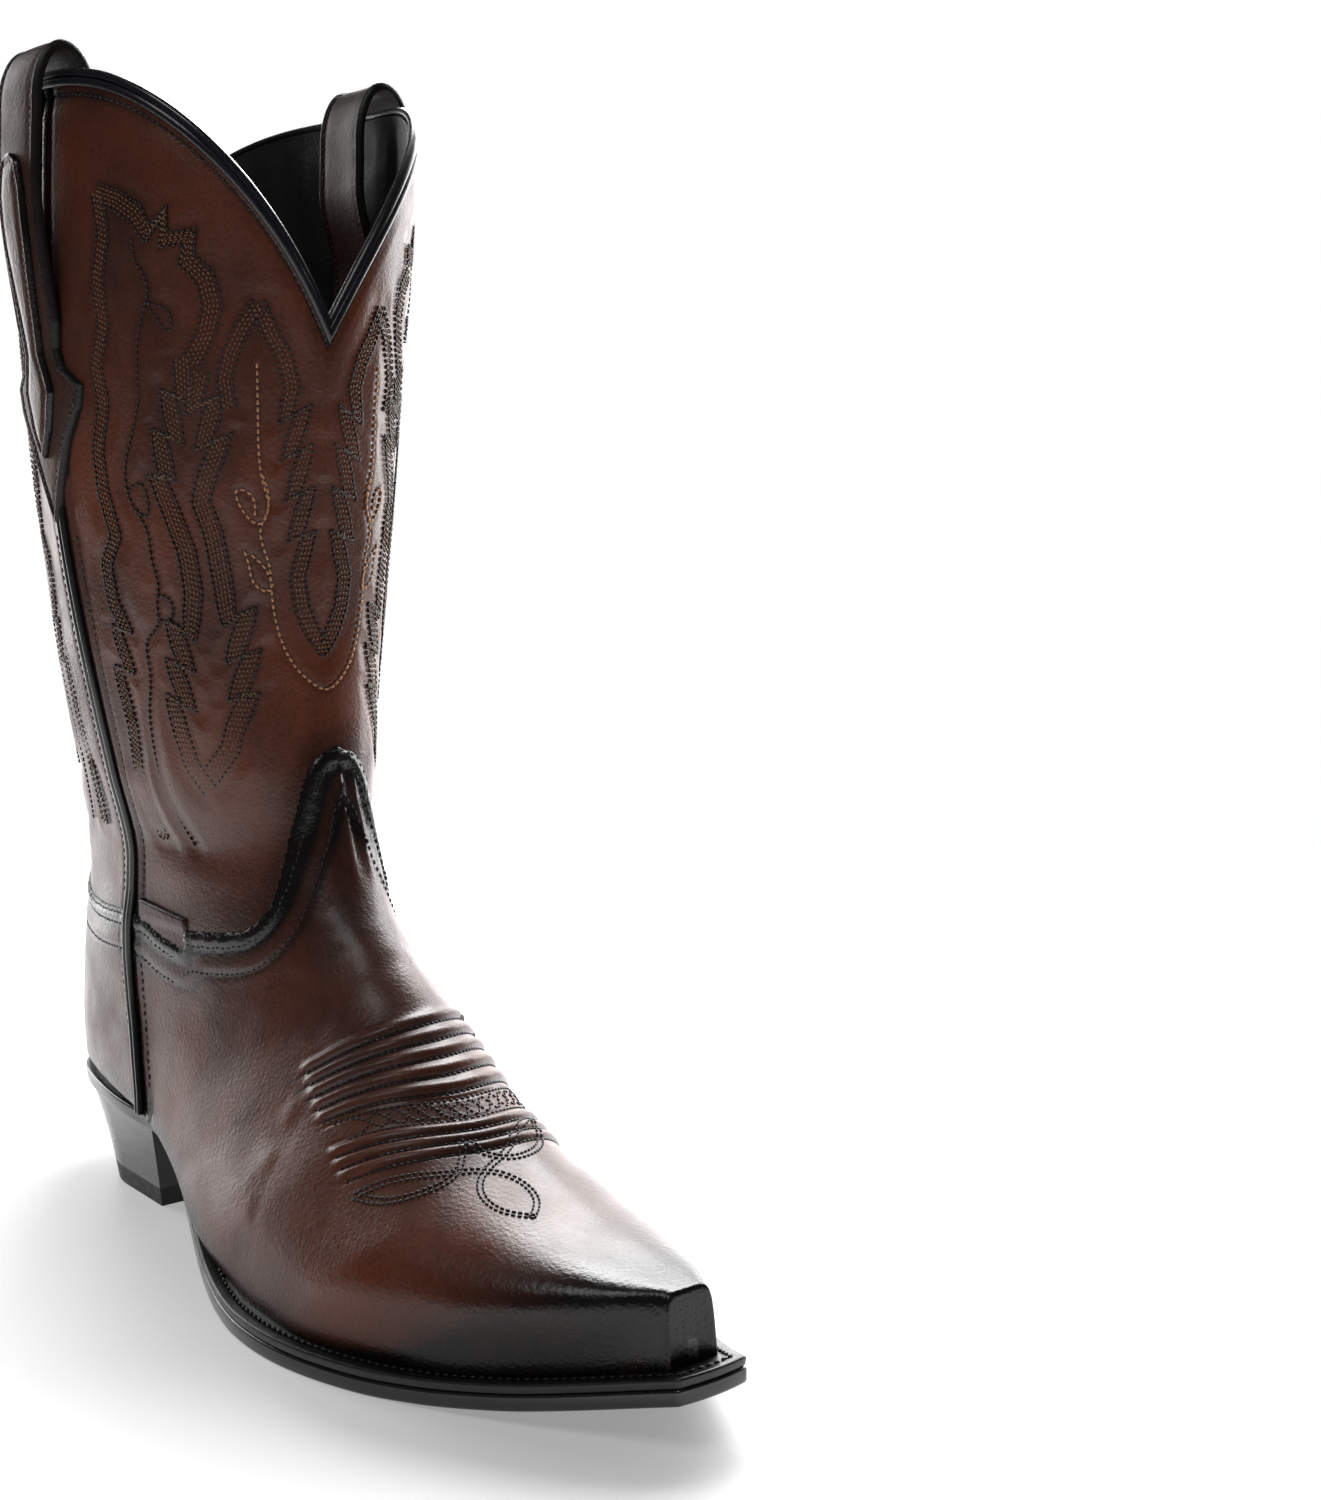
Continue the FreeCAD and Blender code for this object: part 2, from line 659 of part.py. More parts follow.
for name, medial in (("strap_overlay_lateral", False), ("strap_overlay_medial", True)):
    overlay = Part.makeLoft([overlay_wire(x, medial) for x in STRAP_STATIONS], True, False)
    node(name, overlay.common(strap_outline(OVERLAY_OUTLINE)))

# a small blank tab let into the lateral collar, just ahead of the side seam
LABEL_OUTLINE = xz([(23.5, 106.5), (24.5, 92), (52, 86), (51, 100)])
label_face = Part.makePolygon(LABEL_OUTLINE + LABEL_OUTLINE[:1])
label_face.translate(Vector(0, -DEEP, 0))
label_prism = Part.Face(label_face).extrude(Vector(0, DEEP, 0))
label_outer = -size("fit_gap") - size("label_thick")
node("label_tab", skin(label_outer, -size("fit_gap"), (label_prism,), (BELOW_COLLAR,)))

# ---------------------------------------------------------------- sole and insole

# the outsole's outline from above: heel seat, waist, ball and the snipped toe
LATERAL_EDGE = [(28, -35.5), (45, -37), (60, -41.5), (75, -46.5), (90, -51.5), (120, -59.5),
                (150, -61.5), (180, -54.5), (210, -40.5), (235, -26.5), (252, -16.5), (264, -10.5)]
MEDIAL_EDGE = [(28, 35), (45, 33.5), (60, 33.5), (75, 35), (90, 37.5), (120, 43), (150, 46),
               (180, 43.5), (210, 34.5), (235, 24.5), (252, 16.5), (264, 11.5)]
SEAT_REAR, SEAT_HALF = -50.5, 37.5
SNIP_BOW = 1.6


def inwards(points, inset):
    """The points of an edge moved sideways towards its inside."""
    moved = []
    for index, point in enumerate(points):
        before = points[max(index - 1, 0)]
        after = points[min(index + 1, len(points) - 1)]
        run = (after - before).normalize()
        side = Vector(-run.y, run.x, 0)
        moved.append(point + side * (inset if side.y * point.y < 0 else -inset))
    return moved


def sole_outline(inset):
    """A prism inside the outsole's outline moved inwards by inset."""
    lateral = inwards([Vector(x, y, 0) for x, y in LATERAL_EDGE], inset)
    medial = inwards([Vector(x, y, 0) for x, y in MEDIAL_EDGE], inset)
    lateral[-1] -= Vector(inset, 0, 0)
    medial[-1] -= Vector(inset, 0, 0)
    rear = Vector(SEAT_REAR + inset, -0.5, 0)
    half = SEAT_HALF - inset
    side = [(8, 0.985), (-12, 0.96), (rear.x + 18, 0.82), (rear.x + 5.5, 0.5)]
    seat = [Vector(x, -half * share, 0) for x, share in side] + [rear]
    seat += [Vector(x, half * share, 0) for x, share in reversed(side)]
    toe_bow = (lateral[-1] + medial[-1]) * 0.5 + Vector(SNIP_BOW, 0, 0)
    toe = Part.Arc(medial[-1], toe_bow, lateral[-1]).toShape()
    # one smooth edge from the medial snip corner round the heel to the lateral one
    border = through(lateral[::-1] + seat + medial)
    wire = Part.Wire([border, toe])
    wire.translate(Vector(0, 0, -20))
    return Part.Face(wire).extrude(Vector(0, 0, 140))


outsole_thick = size("outsole_thick")
gap = size("fit_gap")
outline = sole_outline(0.0)
core = sole_outline(size("welt_width"))
rand_outline = sole_outline(size("rand_inset"))
WELT_REAR = 29.0

outsole_solid = outline.common(layer(0.0, outsole_thick))
middle_layer = layer(outsole_thick, feather)
welt_solid = outline.cut(core).common(middle_layer).common(half_space(WELT_REAR, 300))
rand_solid = rand_outline.cut(core).common(middle_layer).common(half_space(-100, WELT_REAR - gap))

shank_layer = layer(outsole_thick + 0.8, outsole_thick + 0.8 + size("shank_thick"))
shank_box = Part.makeBox(size("shank_front") - size("shank_rear"), size("shank_wide"), 80,
                         Vector(size("shank_rear"), -size("shank_wide") / 2, -5))
shank_solid = shank_box.common(shank_layer)
filler_solid = sole_outline(size("welt_width") + gap).common(middle_layer).cut(shank_solid)

inside_form = form(foot_lining + gap)
insole_top = feather + size("insole_thick")
insole_solid = inside_form.common(layer(feather, insole_top))
sock_top = insole_top + size("sock_thick")
sock_solid = inside_form.common(layer(insole_top, sock_top))
pad_area = sole_outline(9.0).common(half_space(-100, 22))
pad_solid = inside_form.common(layer(sock_top, sock_top + 1.6)).common(pad_area)

# ---------------------------------------------------------------- heel

cap_tall = size("cap_tall")
lift_tall = size("lift_tall")


def origin_plane(body, role):
    """One of a body's own origin planes."""
    for feature in body.Origin.OriginFeatures:
        if feature.Role == role:
            return feature
    raise RuntimeError("no origin plane " + role)


def heel_sketch(body, name, level, radius, centre, front):
    """A D outline: a straight breast, two straight sides and a half round rear."""
    sketch = body.newObject("Sketcher::SketchObject", name)
    sketch.AttachmentSupport = [(origin_plane(body, "XY_Plane"), "")]
    sketch.MapMode = "FlatFace"
    if level:
        sketch.setExpression("AttachmentOffset.Base.z", "Dimensions." + level)
    r, c, f = size(radius), size(centre), size(front)
    circle = Part.Circle(Vector(c, 0, 0), Vector(0, 0, 1), r)
    arc = sketch.addGeometry(Part.ArcOfCircle(circle, math.pi / 2, 3 * math.pi / 2), False)
    low = sketch.addGeometry(Part.LineSegment(Vector(c, -r, 0), Vector(f, -r, 0)), False)
    breast = sketch.addGeometry(Part.LineSegment(Vector(f, -r, 0), Vector(f, r, 0)), False)
    high = sketch.addGeometry(Part.LineSegment(Vector(f, r, 0), Vector(c, r, 0)), False)
    add = sketch.addConstraint
    add(Sketcher.Constraint("Tangent", arc, 2, low, 1))
    add(Sketcher.Constraint("Coincident", low, 2, breast, 1))
    add(Sketcher.Constraint("Coincident", breast, 2, high, 1))
    add(Sketcher.Constraint("Tangent", high, 2, arc, 1))
    add(Sketcher.Constraint("Vertical", breast))
    add(Sketcher.Constraint("Horizontal", low))
    add(Sketcher.Constraint("PointOnObject", arc, 3, -1))
    radius_index = add(Sketcher.Constraint("Radius", arc, r))
    sketch.renameConstraint(radius_index, "radius")
    centre_index = add(Sketcher.Constraint("DistanceX", -1, 1, arc, 3, c))
    sketch.renameConstraint(centre_index, "centre")
    front_index = add(Sketcher.Constraint("DistanceX", -1, 1, breast, 1, f))
    sketch.renameConstraint(front_index, "front")
    sketch.setExpression("Constraints.radius", "Dimensions." + radius)
    sketch.setExpression("Constraints.centre", "Dimensions." + centre)
    sketch.setExpression("Constraints.front", "Dimensions." + front)
    return sketch


block = doc.addObject("PartDesign::Body", "heel_block")
HEEL_SECTIONS = [
    ("heel_floor", None, "heel_radius_floor", "heel_centre_floor", "heel_front"),
    ("heel_waist", "heel_mid", "heel_radius_mid", "heel_centre_mid", "heel_front"),
    ("heel_crown", "heel_top", "heel_radius_top", "heel_centre_top", "heel_front_top"),
]
floor_sketch, mid_sketch, top_sketch = [heel_sketch(block, *section) for section in HEEL_SECTIONS]
loft = block.newObject("PartDesign::AdditiveLoft", "heel_loft")
loft.Profile = floor_sketch
loft.Sections = [mid_sketch, top_sketch]
doc.recompute()
block.Tip = loft
doc.recompute()
heel_solid = block.Shape.Solids[0]


def pins(places, radius, foot, top):
    """A group of upright round pins between two heights."""
    return [Part.makeCylinder(radius, top - foot, Vector(x, y, foot)) for x, y in places]


HEEL_NAIL_PLACES = [(x, y) for x in (-25.0, -6.0, 14.0) for y in (-18.0, 18.0)]
CAP_NAIL_PLACES = [(20, -24), (20, 0), (20, 24), (-2, -26), (-2, 26), (-20, -14), (-20, 14)]
heel_nails = pins(HEEL_NAIL_PLACES, size("heel_nail_r"), 12.5, 60.0)
nails_area = above_sole(feather + size("insole_thick"))
heel_nails = [nail.cut(nails_area) for nail in heel_nails]
cap_nails = pins(CAP_NAIL_PLACES, size("cap_nail_r"), 0.0, size("cap_nail_tall"))
PEG_ROWS = [(x, y) for x in (42.0, 52.0, 62.0, 72.0) for y in (-27.0, 25.0)]
pegs = [peg.common(layer(0.0, outsole_thick)) for peg in pins(PEG_ROWS, size("peg_r"), 0.0, 45.0)]

nail_group = Part.makeCompound(heel_nails)
cap_group = Part.makeCompound(cap_nails)
peg_group = Part.makeCompound(pegs)

node("outsole", outsole_solid.cut(nail_group).cut(peg_group))
node("welt", welt_solid)
node("heel_rand", rand_solid)
node("cork_filler", filler_solid.cut(nail_group))
node("shank", shank_solid)
node("insole", insole_solid.cut(nail_group))
node("sock_liner", sock_solid)
node("heel_pad", pad_solid)

under_seat = heel_solid.cut(above_sole(0.0))
levels = [cap_tall + lift_tall * step for step in range(4)] + [HIGH]
cap_slab = Part.makeBox(200, 200, cap_tall, Vector(-100, -100, 0))
node("heel_cap", under_seat.common(cap_slab).cut(cap_group))
for number, (low, high) in enumerate(zip(levels, levels[1:]), start=1):
    slab = Part.makeBox(200, 200, high - low, Vector(-100, -100, low))
    node(f"heel_lift_{number}", under_seat.common(slab).cut(nail_group).cut(cap_group))
node("heel_nails", nail_group)
node("cap_nails", cap_group)
node("sole_pegs", peg_group)

# ---------------------------------------------------------------- checks and export

doc.recompute()
for item in doc.Objects:
    if any(flag in ("Invalid", "Error") for flag in item.State):
        raise RuntimeError(f"{item.Name} is {item.State}")
os.makedirs("parts", exist_ok=True)
for feature in made:
    shape = feature.Shape
    if shape.isNull() or not shape.isValid():
        raise RuntimeError(f"{feature.Label} has no valid shape")
    box = shape.optimalBoundingBox()
    ends = [box.XMin, box.XMax, box.YMin, box.YMax, box.ZMin, box.ZMax]
    print(f"{feature.Label:24s} {shape.Volume / 1000:8.2f} cm3  solids {len(shape.Solids)}  box "
          + " ".join(f"{end:7.1f}" for end in ends))
for feature in made:
    feature.Shape.exportStep(f"parts/{feature.Label}.step")
print(len(made), "nodes")
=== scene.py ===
import math

import bmesh
import bpy
import numpy as np
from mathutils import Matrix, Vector
from mathutils.bvhtree import BVHTree
from mathutils.geometry import delaunay_2d_cdt
from mathutils.kdtree import KDTree


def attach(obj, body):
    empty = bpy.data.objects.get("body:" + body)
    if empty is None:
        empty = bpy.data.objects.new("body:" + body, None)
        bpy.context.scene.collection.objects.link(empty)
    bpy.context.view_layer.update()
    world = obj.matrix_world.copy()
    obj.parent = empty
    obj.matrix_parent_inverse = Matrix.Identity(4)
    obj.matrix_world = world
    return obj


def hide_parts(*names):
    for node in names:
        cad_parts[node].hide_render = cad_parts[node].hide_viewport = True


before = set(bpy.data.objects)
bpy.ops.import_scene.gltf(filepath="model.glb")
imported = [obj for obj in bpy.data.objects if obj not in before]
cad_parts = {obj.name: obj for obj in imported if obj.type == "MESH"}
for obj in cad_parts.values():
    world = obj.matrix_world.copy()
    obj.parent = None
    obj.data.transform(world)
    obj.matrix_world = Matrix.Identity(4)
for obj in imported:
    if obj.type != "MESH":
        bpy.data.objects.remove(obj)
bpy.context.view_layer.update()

# Shapes are worked out in millimetres in the part's frame (+X toe, +Y inner side, +Z up)
# and turned into metres when a piece is made.
MM = 0.001
LATERAL, MEDIAL = -1, 1

# ---------------------------------------------------------------- the boot's form, as in part.py

STATIONS = np.array([
    (93.0, 375.0, -72.0, 375.0, 57.0, 57.0, 5.5, 2.0, 2.0, 0.50),
    (91.5, 320.0, -64.0, 320.0, 57.5, 58.0, 2.5, 2.0, 2.0, 0.50),
    (87.5, 250.0, -57.5, 250.0, 53.5, 54.0, -0.5, 2.0, 2.0, 0.50),
    (84.5, 190.0, -53.5, 188.0, 47.0, 47.0, -1.0, 2.0, 2.0, 0.50),
    (89.0, 152.5, -53.0, 139.5, 39.0, 39.0, -1.5, 2.0, 2.0, 0.50),
    (93.5, 129.0, -55.0, 99.5, 33.0, 34.0, -1.0, 2.0, 2.1, 0.52),
    (101.5, 111.5, -58.0, 67.0, 33.5, 34.5, -1.5, 2.0, 2.3, 0.55),
    (114.0, 98.0, -51.5, 31.5, 34.5, 36.5, -1.0, 2.0, 2.8, 0.60),
    (127.5, 87.5, -18.0, 20.0, 36.5, 39.5, -1.0, 2.0, 3.0, 0.66),
    (144.0, 74.5, 32.0, 12.0, 41.0, 41.5, -2.0, 2.1, 3.0, 0.70),
    (163.0, 59.5, 90.0, 1.5, 49.0, 43.5, -3.5, 2.2, 3.0, 0.74),
    (187.5, 48.5, 139.5, -4.5, 51.0, 42.0, -4.0, 2.4, 3.0, 0.74),
    (214.5, 41.5, 188.0, -4.5, 39.0, 33.0, -3.0, 2.9, 3.0, 0.72),
    (237.5, 38.0, 226.0, 0.0, 22.0, 20.0, -1.0, 4.0, 3.2, 0.66),
    (252.0, 36.5, 256.0, 6.0, 6.5, 7.5, 1.0, 6.0, 5.0, 0.60),
])
SEAM_LINE = [(13, 400), (14, 330), (15, 260), (17, 215), (20, 168), (20.5, 138), (18.5, 108),
             (17.5, 88), (19, 70), (23, 54), (28, 40), (34, 24)]
COLLAR_SIDE = [(-90, 106), (-62, 106), (-50, 105.5), (-42, 102.5), (-27, 98.2), (-8, 96.8),
               (14, 97.6), (26, 97.2), (39, 93.6), (53, 91.8), (64, 93.6), (74, 98.2), (84, 103.5),
               (96, 106), (130, 106)]
TONGUE = [(33, 97), (26.5, 100.5), (22, 108), (17.8, 121), (14.4, 135), (11.5, 146), (7, 153.2), (0, 156)]
PEAK = [(30, 98), (20, 103.8), (13.2, 112), (8.6, 124), (4, 135), (0, 139.5)]
SOLE_LINE = [(-62, 35.4), (-50, 34.0), (-20, 30.6), (10, 28.0), (28, 26.6), (45, 23.4), (60, 18.6),
             (75, 12.8), (90, 7.2), (105, 2.9), (118, 0.8), (130, 0.0), (182, 0.0), (200, 0.8),
             (220, 3.2), (240, 7.2), (264, 13.2), (280, 17.6)]
LATERAL_EDGE = [(28, -35.5), (45, -37), (60, -41.5), (75, -46.5), (90, -51.5), (120, -59.5),
                (150, -61.5), (180, -54.5), (210, -40.5), (235, -26.5), (252, -16.5), (264, -10.5)]
MEDIAL_EDGE = [(28, 35), (45, 33.5), (60, 33.5), (75, 35), (90, 37.5), (120, 43), (150, 46),
               (180, 43.5), (210, 34.5), (235, 24.5), (252, 16.5), (264, 11.5)]
RIM_SIDE, RIM_FRONT, RIM_BACK, RIM_AXIS = 353.0, 278.5, 290.5, 12.0
FEATHER = 7.5        # height of the upper's lower edge over the sole line
LEATHER, SWELL = 1.8, 0.8
COLLAR_AXIS = 18.0   # the collar rises to the tongue ahead of this and to the peak behind it
TINY = 1e-9


def monotone(knots, values, at):
    """A curve through the values that never overshoots them."""
    knots, values, at = np.asarray(knots, float), np.asarray(values, float), np.asarray(at, float)
    gaps = np.diff(knots)
    steps = np.diff(values, axis=0) / (gaps if values.ndim == 1 else gaps[:, None])
    left, right = steps[:-1], steps[1:]
    gap_l, gap_r = gaps[:-1], gaps[1:]
    if values.ndim > 1:
        gap_l, gap_r = gap_l[:, None], gap_r[:, None]
    near, far = 2 * gap_r + gap_l, gap_r + 2 * gap_l
    turning = left * right <= 0
    safe_l, safe_r = np.where(turning, 1.0, left), np.where(turning, 1.0, right)
    inner = np.where(turning, 0.0, (near + far) / (near / safe_l + far / safe_r))
    slopes = np.concatenate([steps[:1], inner, steps[-1:]])
    span = np.clip(np.searchsorted(knots, at) - 1, 0, len(gaps) - 1)
    gap = gaps[span]
    t = (at - knots[span]) / gap
    if values.ndim > 1:
        t, gap = t[..., None], gap[..., None]
    return (values[span] * (1 + 2 * t) * (1 - t) ** 2 + values[span + 1] * t * t * (3 - 2 * t)
            + gap * slopes[span] * t * (1 - t) ** 2 - gap * slopes[span + 1] * t * t * (1 - t))


def curve(points, at):
    """The monotone curve through (knot, value) pairs, held level past its ends."""
    pairs = sorted(points)
    knots = [k for k, _ in pairs]
    return monotone(knots, [v for _, v in pairs], np.clip(at, knots[0], knots[-1]))


def ramp(low, high, at):
    """0 below low, 1 above high and smooth between."""
    t = np.clip((at - low) / (high - low), 0, 1)
    return t * t * (3 - 2 * t)


def bump(at, width):
    """1 at zero, falling off smoothly on both sides."""
    return np.exp(-(at / width) ** 2)


def unit(vectors):
    """The vectors at length 1."""
    return vectors / (np.linalg.norm(vectors, axis=-1, keepdims=True) + TINY)


def run_lengths(points):
    """Length from the first point to each one, along rows of points."""
    steps = np.linalg.norm(np.diff(points, axis=-2), axis=-1)
    return np.concatenate([np.zeros(steps.shape[:-1] + (1,)), np.cumsum(steps, axis=-1)], axis=-1)


def seam_x(z):
    """The side seam's x at heights."""
    return curve([(h, x) for x, h in SEAM_LINE], z)


def sole_z(x):
    """The height of the outsole's underside."""
    return curve(SOLE_LINE, x)


FINE = 100
fine_places = np.arange(14 * FINE + 1) / FINE
FINE_STATIONS = monotone(np.arange(15), STATIONS, fine_places)


def station(u):
    """Station values at fractional places, read from a fine table."""
    at = np.clip(np.asarray(u, float) * FINE, 0, 14 * FINE - 1e-6)
    low = at.astype(int)
    share = (at - low)[..., None]
    return FINE_STATIONS[low] * (1 - share) + FINE_STATIONS[low + 1] * share


def section(values, angle):
    """Share down a section and share of its half width, at an angle from the top line."""
    top_full, bottom_full, widest = values[..., 7], values[..., 8], values[..., 9]
    upper = angle <= math.pi / 2
    cos, sin = np.abs(np.cos(angle)), np.abs(np.sin(angle))
    down = np.where(upper, widest - widest * cos ** (2 / top_full),
                    widest + (1 - widest) * cos ** (2 / bottom_full))
    return down, np.where(upper, sin ** (2 / top_full), sin ** (2 / bottom_full))


def form_point(u, angle, side, inset):
    """Points of the form at places, angles from the top line and sides, inset from the surface."""
    values = station(u)
    down, wide = section(values, angle)
    run = values[..., 2:4] - values[..., 0:2]
    length = np.hypot(run[..., 0], run[..., 1])
    along = (inset + down * (length - 2 * inset)) / length
    x = values[..., 0] + run[..., 0] * along
    z = values[..., 1] + run[..., 1] * along
    half = np.where(side > 0, values[..., 5], values[..., 4]) - inset
    y = values[..., 6] + side * half * wide
    return np.stack([x, y, z], -1)


def flank(x, z, side):
    """The y of the outer surface at a place in side view."""
    x, z = np.broadcast_arrays(np.asarray(x, float), np.asarray(z, float))
    low, high = np.zeros(x.shape), np.full(x.shape, 12.0)
    for _ in range(24):
        middle = (low + high) / 2
        v = station(middle)
        height = v[..., 1] + (v[..., 3] - v[..., 1]) * (x - v[..., 0]) / (v[..., 2] - v[..., 0])
        above = height > z
        low, high = np.where(above, middle, low), np.where(above, high, middle)
    v = station((low + high) / 2)
    length = np.hypot(v[..., 0] - v[..., 2], v[..., 1] - v[..., 3])
    share = np.clip(np.hypot(x - v[..., 0], z - v[..., 1]) / length, 0, 1)
    widest = v[..., 9]
    upper = share < widest
    t = np.where(upper, (widest - share) / widest, (share - widest) / (1 - widest))
    full = np.where(upper, v[..., 7], v[..., 8])
    wide = np.clip(1 - np.clip(t, 0, 1) ** full, 0, 1) ** (1 / full)
    half = np.where(np.asarray(side) > 0, v[..., 5], v[..., 4])
    return v[..., 6] + side * half * wide


# ---------------------------------------------------------------- the shaft, by height and way round

SHAFT_LOW, SHAFT_STEP, SHAFT_ROUND = 78.0, 0.5, 240
shaft_heights = np.arange(SHAFT_LOW, 372.0, SHAFT_STEP)
round_shares = np.linspace(0, 1, SHAFT_ROUND + 1)


def front_and_back(z):
    """The x of the front and back lines at heights."""
    places = FINE_STATIONS[:9 * FINE]
    front = np.interp(-z, -places[:, 1], places[:, 0])
    back = np.interp(-z, -places[:, 3], places[:, 2])
    return front, back


def shaft_table(side):
    """Points round one half of the shaft, evenly spaced from the front line to the back line."""
    front, back = front_and_back(shaft_heights)
    turn = (1 - np.cos(np.linspace(0, math.pi, 220))) / 2
    x = front[:, None] + (back - front)[:, None] * turn
    y = flank(x, shaft_heights[:, None], side)
    lengths = run_lengths(np.stack([x, y], -1))
    table = np.zeros((len(x), SHAFT_ROUND + 1, 3))
    for row in range(len(x)):
        at = round_shares * lengths[row, -1]
        table[row, :, 0] = np.interp(at, lengths[row], x[row])
        table[row, :, 1] = np.interp(at, lengths[row], y[row])
    table[:, :, 2] = shaft_heights[:, None]
    return table, lengths[:, -1]


def outward(grid, side):
    """Unit normals of a table of points that runs up and round, facing out of the boot."""
    return unit(np.cross(np.gradient(grid, axis=1), np.gradient(grid, axis=0)) * side)


SHAFT = {}
for side in (LATERAL, MEDIAL):
    table, girth = shaft_table(side)
    SHAFT[side] = {"points": table, "girth": girth, "normals": outward(table, side)}
for edge in (0, -1):   # the two halves share their normals on the front and back lines
    both = unit(SHAFT[LATERAL]["normals"][:, edge] + SHAFT[MEDIAL]["normals"][:, edge])
    for side in (LATERAL, MEDIAL):
        SHAFT[side]["normals"][:, edge] = both


def look_up(table, z, share):
    """Bilinear reading of a shaft table at heights and shares of the way round."""
    row = np.clip((z - SHAFT_LOW) / SHAFT_STEP, 0, len(shaft_heights) - 1.001)
    column = np.clip(share * SHAFT_ROUND, 0, SHAFT_ROUND - 1e-6)
    r, c = row.astype(int), column.astype(int)
    a, b = (row - r)[..., None], (column - c)[..., None]
    return ((table[r, c] * (1 - b) + table[r, c + 1] * b) * (1 - a)
            + (table[r + 1, c] * (1 - b) + table[r + 1, c + 1] * b) * a)


def shaft_surface(share, z, side):
    """Points and outward normals of the shaft; side is an array of -1 and 1."""
    z, share, side = np.broadcast_arrays(np.asarray(z, float), np.asarray(share, float), side)
    points, normals = np.zeros(z.shape + (3,)), np.zeros(z.shape + (3,))
    for one in (LATERAL, MEDIAL):
        mask = side == one
        points[mask] = look_up(SHAFT[one]["points"], z[mask], share[mask])
        normals[mask] = look_up(SHAFT[one]["normals"], z[mask], share[mask])
    return points, normals


def girth(z, side):
    """The length round one half of the shaft at heights."""
    lateral = np.interp(z, shaft_heights, SHAFT[LATERAL]["girth"])
    medial = np.interp(z, shaft_heights, SHAFT[MEDIAL]["girth"])
    return np.where(np.asarray(side) > 0, medial, lateral)


def seam_share(z, side):
    """The share of the way round at which the side seam runs."""
    z, side = np.broadcast_arrays(np.asarray(z, float), side)
    found = np.zeros(z.shape)
    for one in (LATERAL, MEDIAL):
        table = SHAFT[one]["points"]
        at_level = np.array([np.interp(-seam_x(level), -table[row, :, 0], round_shares)
                             for row, level in enumerate(shaft_heights)])
        found = np.where(side == one, np.interp(z, shaft_heights, at_level), found)
    return found


def collar_level(x, across):
    """The height of the collar line over a point of the form."""
    level = curve(COLLAR_SIDE, x)
    for peak, here in ((TONGUE, x > COLLAR_AXIS), (PEAK, x <= COLLAR_AXIS)):
        inside = here & (across < peak[0][0])
        level = np.where(inside, np.maximum(level, curve(peak, across)), level)
    return level


def rim_level(x, y, middle):
    """The rim dips to a V in front and behind and peaks under the pull straps."""
    angle = np.degrees(np.arctan2(np.abs(y - middle), x - RIM_AXIS))
    front = RIM_SIDE - (RIM_SIDE - RIM_FRONT) * np.clip(1 - angle / 90, 0, 1) ** 3.2
    back = RIM_SIDE - (RIM_SIDE - RIM_BACK) * np.clip(1 - (180 - angle) / 90, 0, 1) ** 4.5
    return np.where(angle < 90, front, back)


def crossing(side, level_of):
    """For each share of the way round, the height at which the surface crosses a line."""
    table = SHAFT[side]["points"]
    middle = table[:, :1, 1]
    over = shaft_heights[:, None] - level_of(table[..., 0], table[..., 1], middle)
    heights = []
    for column in range(over.shape[1]):
        row = int(np.argmax(over[:, column] > 0))
        low, high = over[row - 1, column], over[row, column]
        heights.append(shaft_heights[row - 1] + SHAFT_STEP * (-low) / (high - low))
    return np.array(heights)


COLLAR, RIM = {}, {}
for side in (LATERAL, MEDIAL):
    COLLAR[side] = crossing(side, lambda x, y, middle: collar_level(x, np.abs(y)))
    RIM[side] = crossing(side, rim_level)


def line_at(lines, share, side):
    """The height of the collar or rim at shares of the way round."""
    lateral = np.interp(share, round_shares, lines[LATERAL])
    medial = np.interp(share, round_shares, lines[MEDIAL])
    return np.where(np.asarray(side) > 0, medial, lateral)


# ---------------------------------------------------------------- mesh tools

def lumps(points, size, seed):
    """Smooth seeded noise between -1 and 1 with lumps of a size."""
    lattice = np.random.RandomState(seed).uniform(-1, 1, (32, 32, 32))
    at = points / size
    low = np.floor(at).astype(int)
    t = at - low
    t = t * t * (3 - 2 * t)
    total = 0
    for i in (0, 1):
        for j in (0, 1):
            for k in (0, 1):
                weight = (np.where(i, t[..., 0], 1 - t[..., 0]) * np.where(j, t[..., 1], 1 - t[..., 1])
                          * np.where(k, t[..., 2], 1 - t[..., 2]))
                total = total + weight * lattice[(low[..., 0] + i) % 32, (low[..., 1] + j) % 32,
                                                 (low[..., 2] + k) % 32]
    return total


WELD = 2e-6          # metres
CORD_SIDES = 12


def make_piece(name, vertices, faces, material, slot, replaces=(), sharp=None, burnish_and_shade=None, clean=True):
    """A mesh object in metres that rides on the body and stands for its CAD nodes.

    burnish is one darkness for all of it, or one for each outer point that its inner points repeat; it holds
    real burnishing and, on some pieces, painted shade in grooves and hollows."""
    mesh = bpy.data.meshes.new(name)
    mesh.from_pydata([tuple(v) for v in np.asarray(vertices) * MM], [], [tuple(f) for f in faces])
    if burnish_and_shade is not None:
        layer = mesh.attributes.new("burnish_and_shade", "FLOAT", "POINT")
        layer.data.foreach_set("value", np.resize(np.asarray(burnish_and_shade, np.float32), len(vertices)))
    if clean:
        work = bmesh.new()
        work.from_mesh(mesh)
        bmesh.ops.remove_doubles(work, verts=work.verts, dist=WELD)
        bmesh.ops.dissolve_degenerate(work, dist=WELD, edges=work.edges)
        bmesh.ops.recalc_face_normals(work, faces=work.faces)
        work.to_mesh(mesh)
        work.free()
    mesh.validate()
    mesh.polygons.foreach_set("use_smooth", np.ones(len(mesh.polygons), bool))
    if sharp:
        mesh.set_sharp_from_angle(angle=math.radians(sharp))
    piece = bpy.data.objects.new(name, mesh)
    bpy.context.scene.collection.objects.link(piece)
    mesh.materials.append(material)
    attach(piece, "root")
    if replaces:
        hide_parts(*replaces)
    return piece


